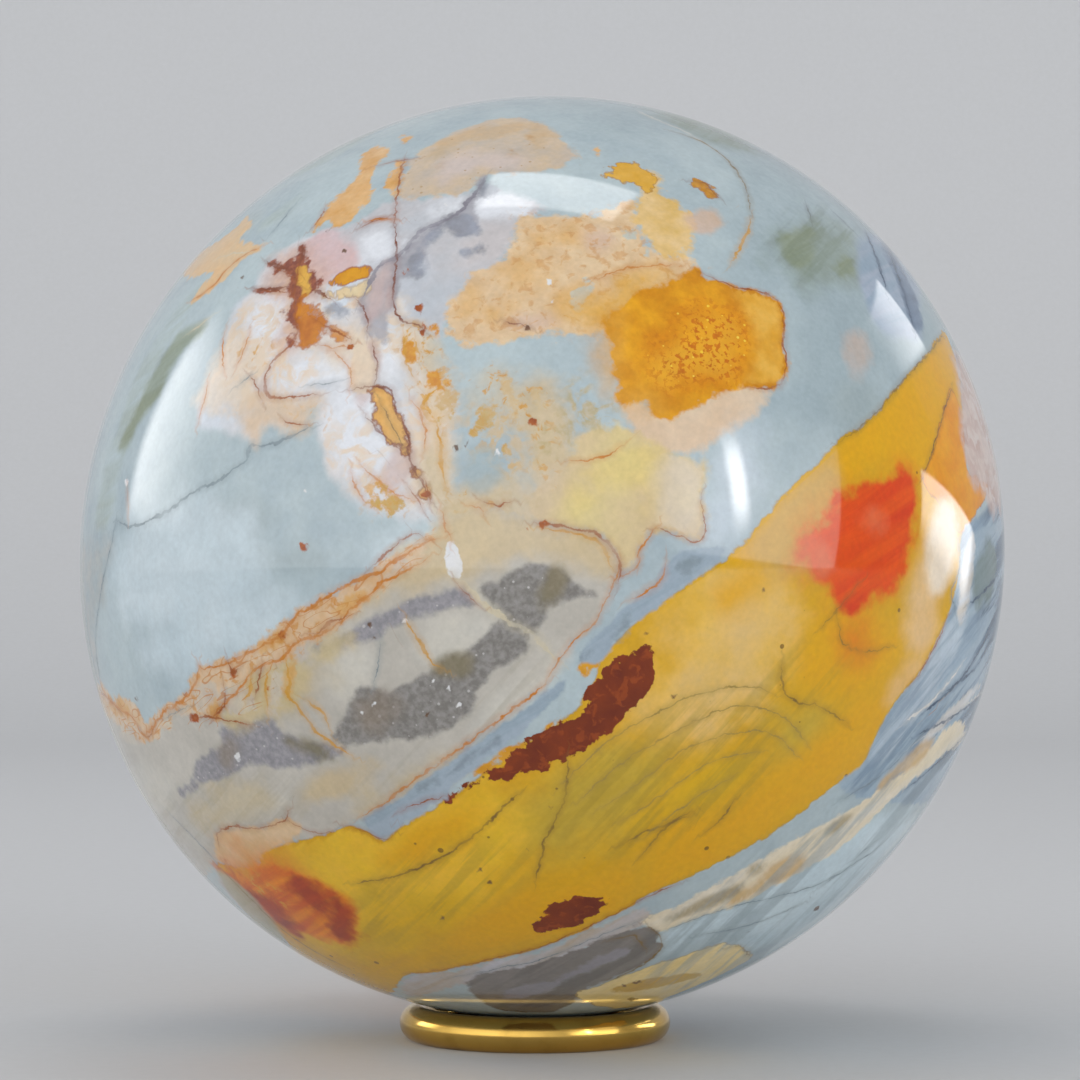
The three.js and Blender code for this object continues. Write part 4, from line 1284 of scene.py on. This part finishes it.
# %% The brass material
polished_brass.use_nodes = True
metal = polished_brass.node_tree
metal.nodes.clear()
place = add(metal, "ShaderNodeTexCoord").outputs["Object"]
x, y, z = add(metal, "ShaderNodeSeparateXYZ", {0: place}).outputs
backwards = add(metal, "ShaderNodeMath", {0: y, 1: -1.0}, operation="MULTIPLY")
heading = add(metal, "ShaderNodeMath", {0: x, 1: backwards}, operation="ARCTAN2")
distance = add(metal, "ShaderNodeVectorMath", {0: add(metal, "ShaderNodeCombineXYZ", {0: x, 1: y})},
               operation="LENGTH").outputs["Value"]
hairline_length = 7 * millimetre
hairline_width = 0.12 * millimetre
along = add(metal, "ShaderNodeMath", {0: heading, 1: bar_circle / hairline_length}, operation="MULTIPLY")
up = add(metal, "ShaderNodeMath", {0: z, 1: 1 / hairline_width}, operation="MULTIPLY")
out = add(metal, "ShaderNodeMath", {0: distance, 1: 1 / hairline_width}, operation="MULTIPLY")
round_bar = add(metal, "ShaderNodeCombineXYZ", {0: along, 1: up, 2: out})
hairlines = add(metal, "ShaderNodeTexNoise", {"Vector": round_bar, "Scale": 1, "Detail": 2})
tarnish = add(metal, "ShaderNodeTexNoise", {"Vector": place, "Scale": 1 / (5 * millimetre), "Detail": 5})
# Painted shade: the brass is painted darker and duller over the lowest 2.2 mm of the bar.
painted_floor_shade = add(metal, "ShaderNodeMapRange",
               {"Value": z, "From Min": 2.2 * millimetre, "From Max": 0.0, "To Max": 0.5})
dull = add(metal, "ShaderNodeMapRange", {"Value": tarnish, "From Min": 0.5, "From Max": 0.75, "To Max": 0.5})
# Random tarnish and the painted shade towards the floor, added together.
tarnish_and_painted_shade = add(metal, "ShaderNodeMath", {0: dull, 1: painted_floor_shade}, operation="ADD", use_clamp=True)
bronze = add(metal, "ShaderNodeMix", {0: tarnish_and_painted_shade, 6: linear("#d6ae58"), 7: linear("#a47e36")},
             data_type="RGBA")
lined = add(metal, "ShaderNodeMapRange", {"Value": hairlines, "From Min": 0.3, "From Max": 0.7,
                                          "To Min": 0.08, "To Max": 0.2})
rough = add(metal, "ShaderNodeMath", {0: tarnish_and_painted_shade, 1: 0.15, 2: lined}, operation="MULTIPLY_ADD")
bump = add(metal, "ShaderNodeBump", {"Height": hairlines, "Strength": 0.06, "Distance": 0.00005})
shine = add(metal, "ShaderNodeBsdfPrincipled", {"Base Color": bronze.outputs[2], "Metallic": 1.0,
                                                "Roughness": rough, "Normal": bump})
add(metal, "ShaderNodeOutputMaterial", {"Surface": shine})
print("ring outside diameter in mm:", round(ring_outside / millimetre, 2))

# %% [markdown]
# ## The studio
# A pale floor curves up into a pale backdrop. Soft lamps stand where the stone's reflections ask
# for them: a square one at the left, one overhead, and a tall strip, a large panel and two small
# ones at the right. Each lamp is given by its azimuth, elevation and tilt in degrees, its distance
# and its size in metres, its radiance, and the shares of its face over which it fades out at each
# of its four sides, so that a reflection is crisp on one side and melts away on another. The rest
# of the light comes from all round and grows smoothly towards the front, like the light of a very
# large soft screen, so it draws no edge on the polish.

# %% Floor and backdrop
def studio_sweep():
    width = 6.0
    front = -2.0
    back = 1.6
    bend = 0.6
    height = 3.0
    steps = 12
    profile = [(front, 0.0), (back - bend, 0.0)]
    for step in range(1, steps + 1):
        angle = math.radians(90 * step / steps)
        profile.append((back - bend + bend * math.sin(angle), bend - bend * math.cos(angle)))
    profile.append((back, height))
    points = [(side * width / 2, y, z) for y, z in profile for side in (-1, 1)]
    faces = [(2 * i, 2 * i + 1, 2 * i + 3, 2 * i + 2) for i in range(len(profile) - 1)]
    mesh = bpy.data.meshes.new("studio_sweep")
    mesh.from_pydata(points, [], faces)
    mesh.shade_smooth()
    sweep = bpy.data.objects.new("studio_sweep", mesh)
    scene.collection.objects.link(sweep)
    return sweep


sweep = studio_sweep()
paper = bpy.data.materials.new("pale_studio_paper")
paper.use_nodes = True
tree = paper.node_tree
tree.nodes.clear()
spot = add(tree, "ShaderNodeTexCoord").outputs["Object"]
fibre = add(tree, "ShaderNodeTexNoise", {"Vector": spot, "Scale": 400})
tone = add(tree, "ShaderNodeMix", {0: fibre, 6: linear("#c6c7c8"), 7: linear("#cbccce")}, data_type="RGBA")
matt = add(tree, "ShaderNodeBsdfPrincipled", {"Base Color": tone.outputs[2], "Roughness": 0.75})
add(tree, "ShaderNodeOutputMaterial", {"Surface": matt})
sweep.data.materials.append(paper)

# %% Lamps and world
lamps = [("left_screen", -105.5, 20, 0, 1.1, (0.68, 0.66), 3.7, (0.16, 0.80, 0.20, 0.30)),
         ("overhead", 166, 83, 0, 1.1, (0.46, 0.28), 3.4, (0.05, 0.05, 0.10, 0.10)),
         ("right_strip", 47, 15.5, 0, 1.2, (0.13, 0.54), 12.0, (0.40, 0.40, 0.40, 0.40)),
         ("right_panel", 51, 17, -7, 1.5, (1.4, 1.0), 1.9, (0.30, 0.015, 0.02, 0.70)),
         ("right_back", 122, 28, -9, 1.2, (0.52, 0.21), 2.6, (0.80, 0.05, 0.15, 0.08)),
         ("right_low", 110.5, 2, -24, 0.5, (0.23, 0.11), 4.2, (0.04, 0.15, 0.50, 0.06))]


def faded(tree, coordinate, start, end):
    """Fades a lamp along one coordinate of its face, which runs from 0 to 1, at its start and end."""
    rise = add(tree, "ShaderNodeMapRange", {"Value": coordinate, "From Max": start},
               interpolation_type="SMOOTHSTEP")
    fall = add(tree, "ShaderNodeMapRange", {"Value": coordinate, "From Min": 1.0, "From Max": 1.0 - end},
               interpolation_type="SMOOTHSTEP")
    return add(tree, "ShaderNodeMath", {0: rise, 1: fall}, operation="MULTIPLY")


for name, azimuth, elevation, tilt, distance, (across, tall), radiance, fades in lamps:
    data = bpy.data.lights.new(name, "AREA")
    data.shape = "RECTANGLE"
    data.size = across
    data.size_y = tall
    data.energy = radiance * math.pi * across * tall
    data.use_nodes = True
    tree = data.node_tree
    tree.nodes.clear()
    surface = add(tree, "ShaderNodeNewGeometry").outputs["Parametric"]
    face = add(tree, "ShaderNodeSeparateXYZ", {0: surface}).outputs
    sideways = faded(tree, face["X"], *fades[:2])
    upright = faded(tree, face["Y"], *fades[2:])
    soft = add(tree, "ShaderNodeMath", {0: sideways, 1: upright}, operation="MULTIPLY")
    glow = add(tree, "ShaderNodeEmission", {"Strength": soft})
    add(tree, "ShaderNodeOutputLight", {0: glow})
    lamp = bpy.data.objects.new(name, data)
    round_about = math.radians(azimuth)
    upwards = math.radians(elevation)
    direction = Vector((math.sin(round_about) * math.cos(upwards),
                        -math.cos(round_about) * math.cos(upwards), math.sin(upwards)))
    lamp.location = ball_centre + direction * distance
    facing = direction.to_track_quat("Z", "Y") @ Quaternion((0, 0, 1), math.radians(tilt))
    lamp.rotation_euler = facing.to_euler()
    scene.collection.objects.link(lamp)

world = bpy.data.worlds.new("studio")
world.use_nodes = True
sky = world.node_tree
sky.nodes.clear()
towards = add(sky, "ShaderNodeTexCoord").outputs["Generated"]
facing = add(sky, "ShaderNodeVectorMath", {0: towards, 1: Vector((-0.62, -0.78, 0.02)).normalized()},
             operation="DOT_PRODUCT")
ahead = add(sky, "ShaderNodeMath", {0: facing.outputs["Value"], 1: 0.0}, operation="MAXIMUM")
falling = add(sky, "ShaderNodeMath", {0: ahead, 1: 2.0}, operation="POWER")
level = add(sky, "ShaderNodeMath", {0: falling, 1: 1.45, 2: 0.47}, operation="MULTIPLY_ADD")
glow = add(sky, "ShaderNodeBackground", {"Color": linear("#f4f5f7"), "Strength": level})
add(sky, "ShaderNodeOutputWorld", {0: glow})
scene.world = world
scene.view_settings.view_transform = "Standard"
print(len(lamps), "lamps")
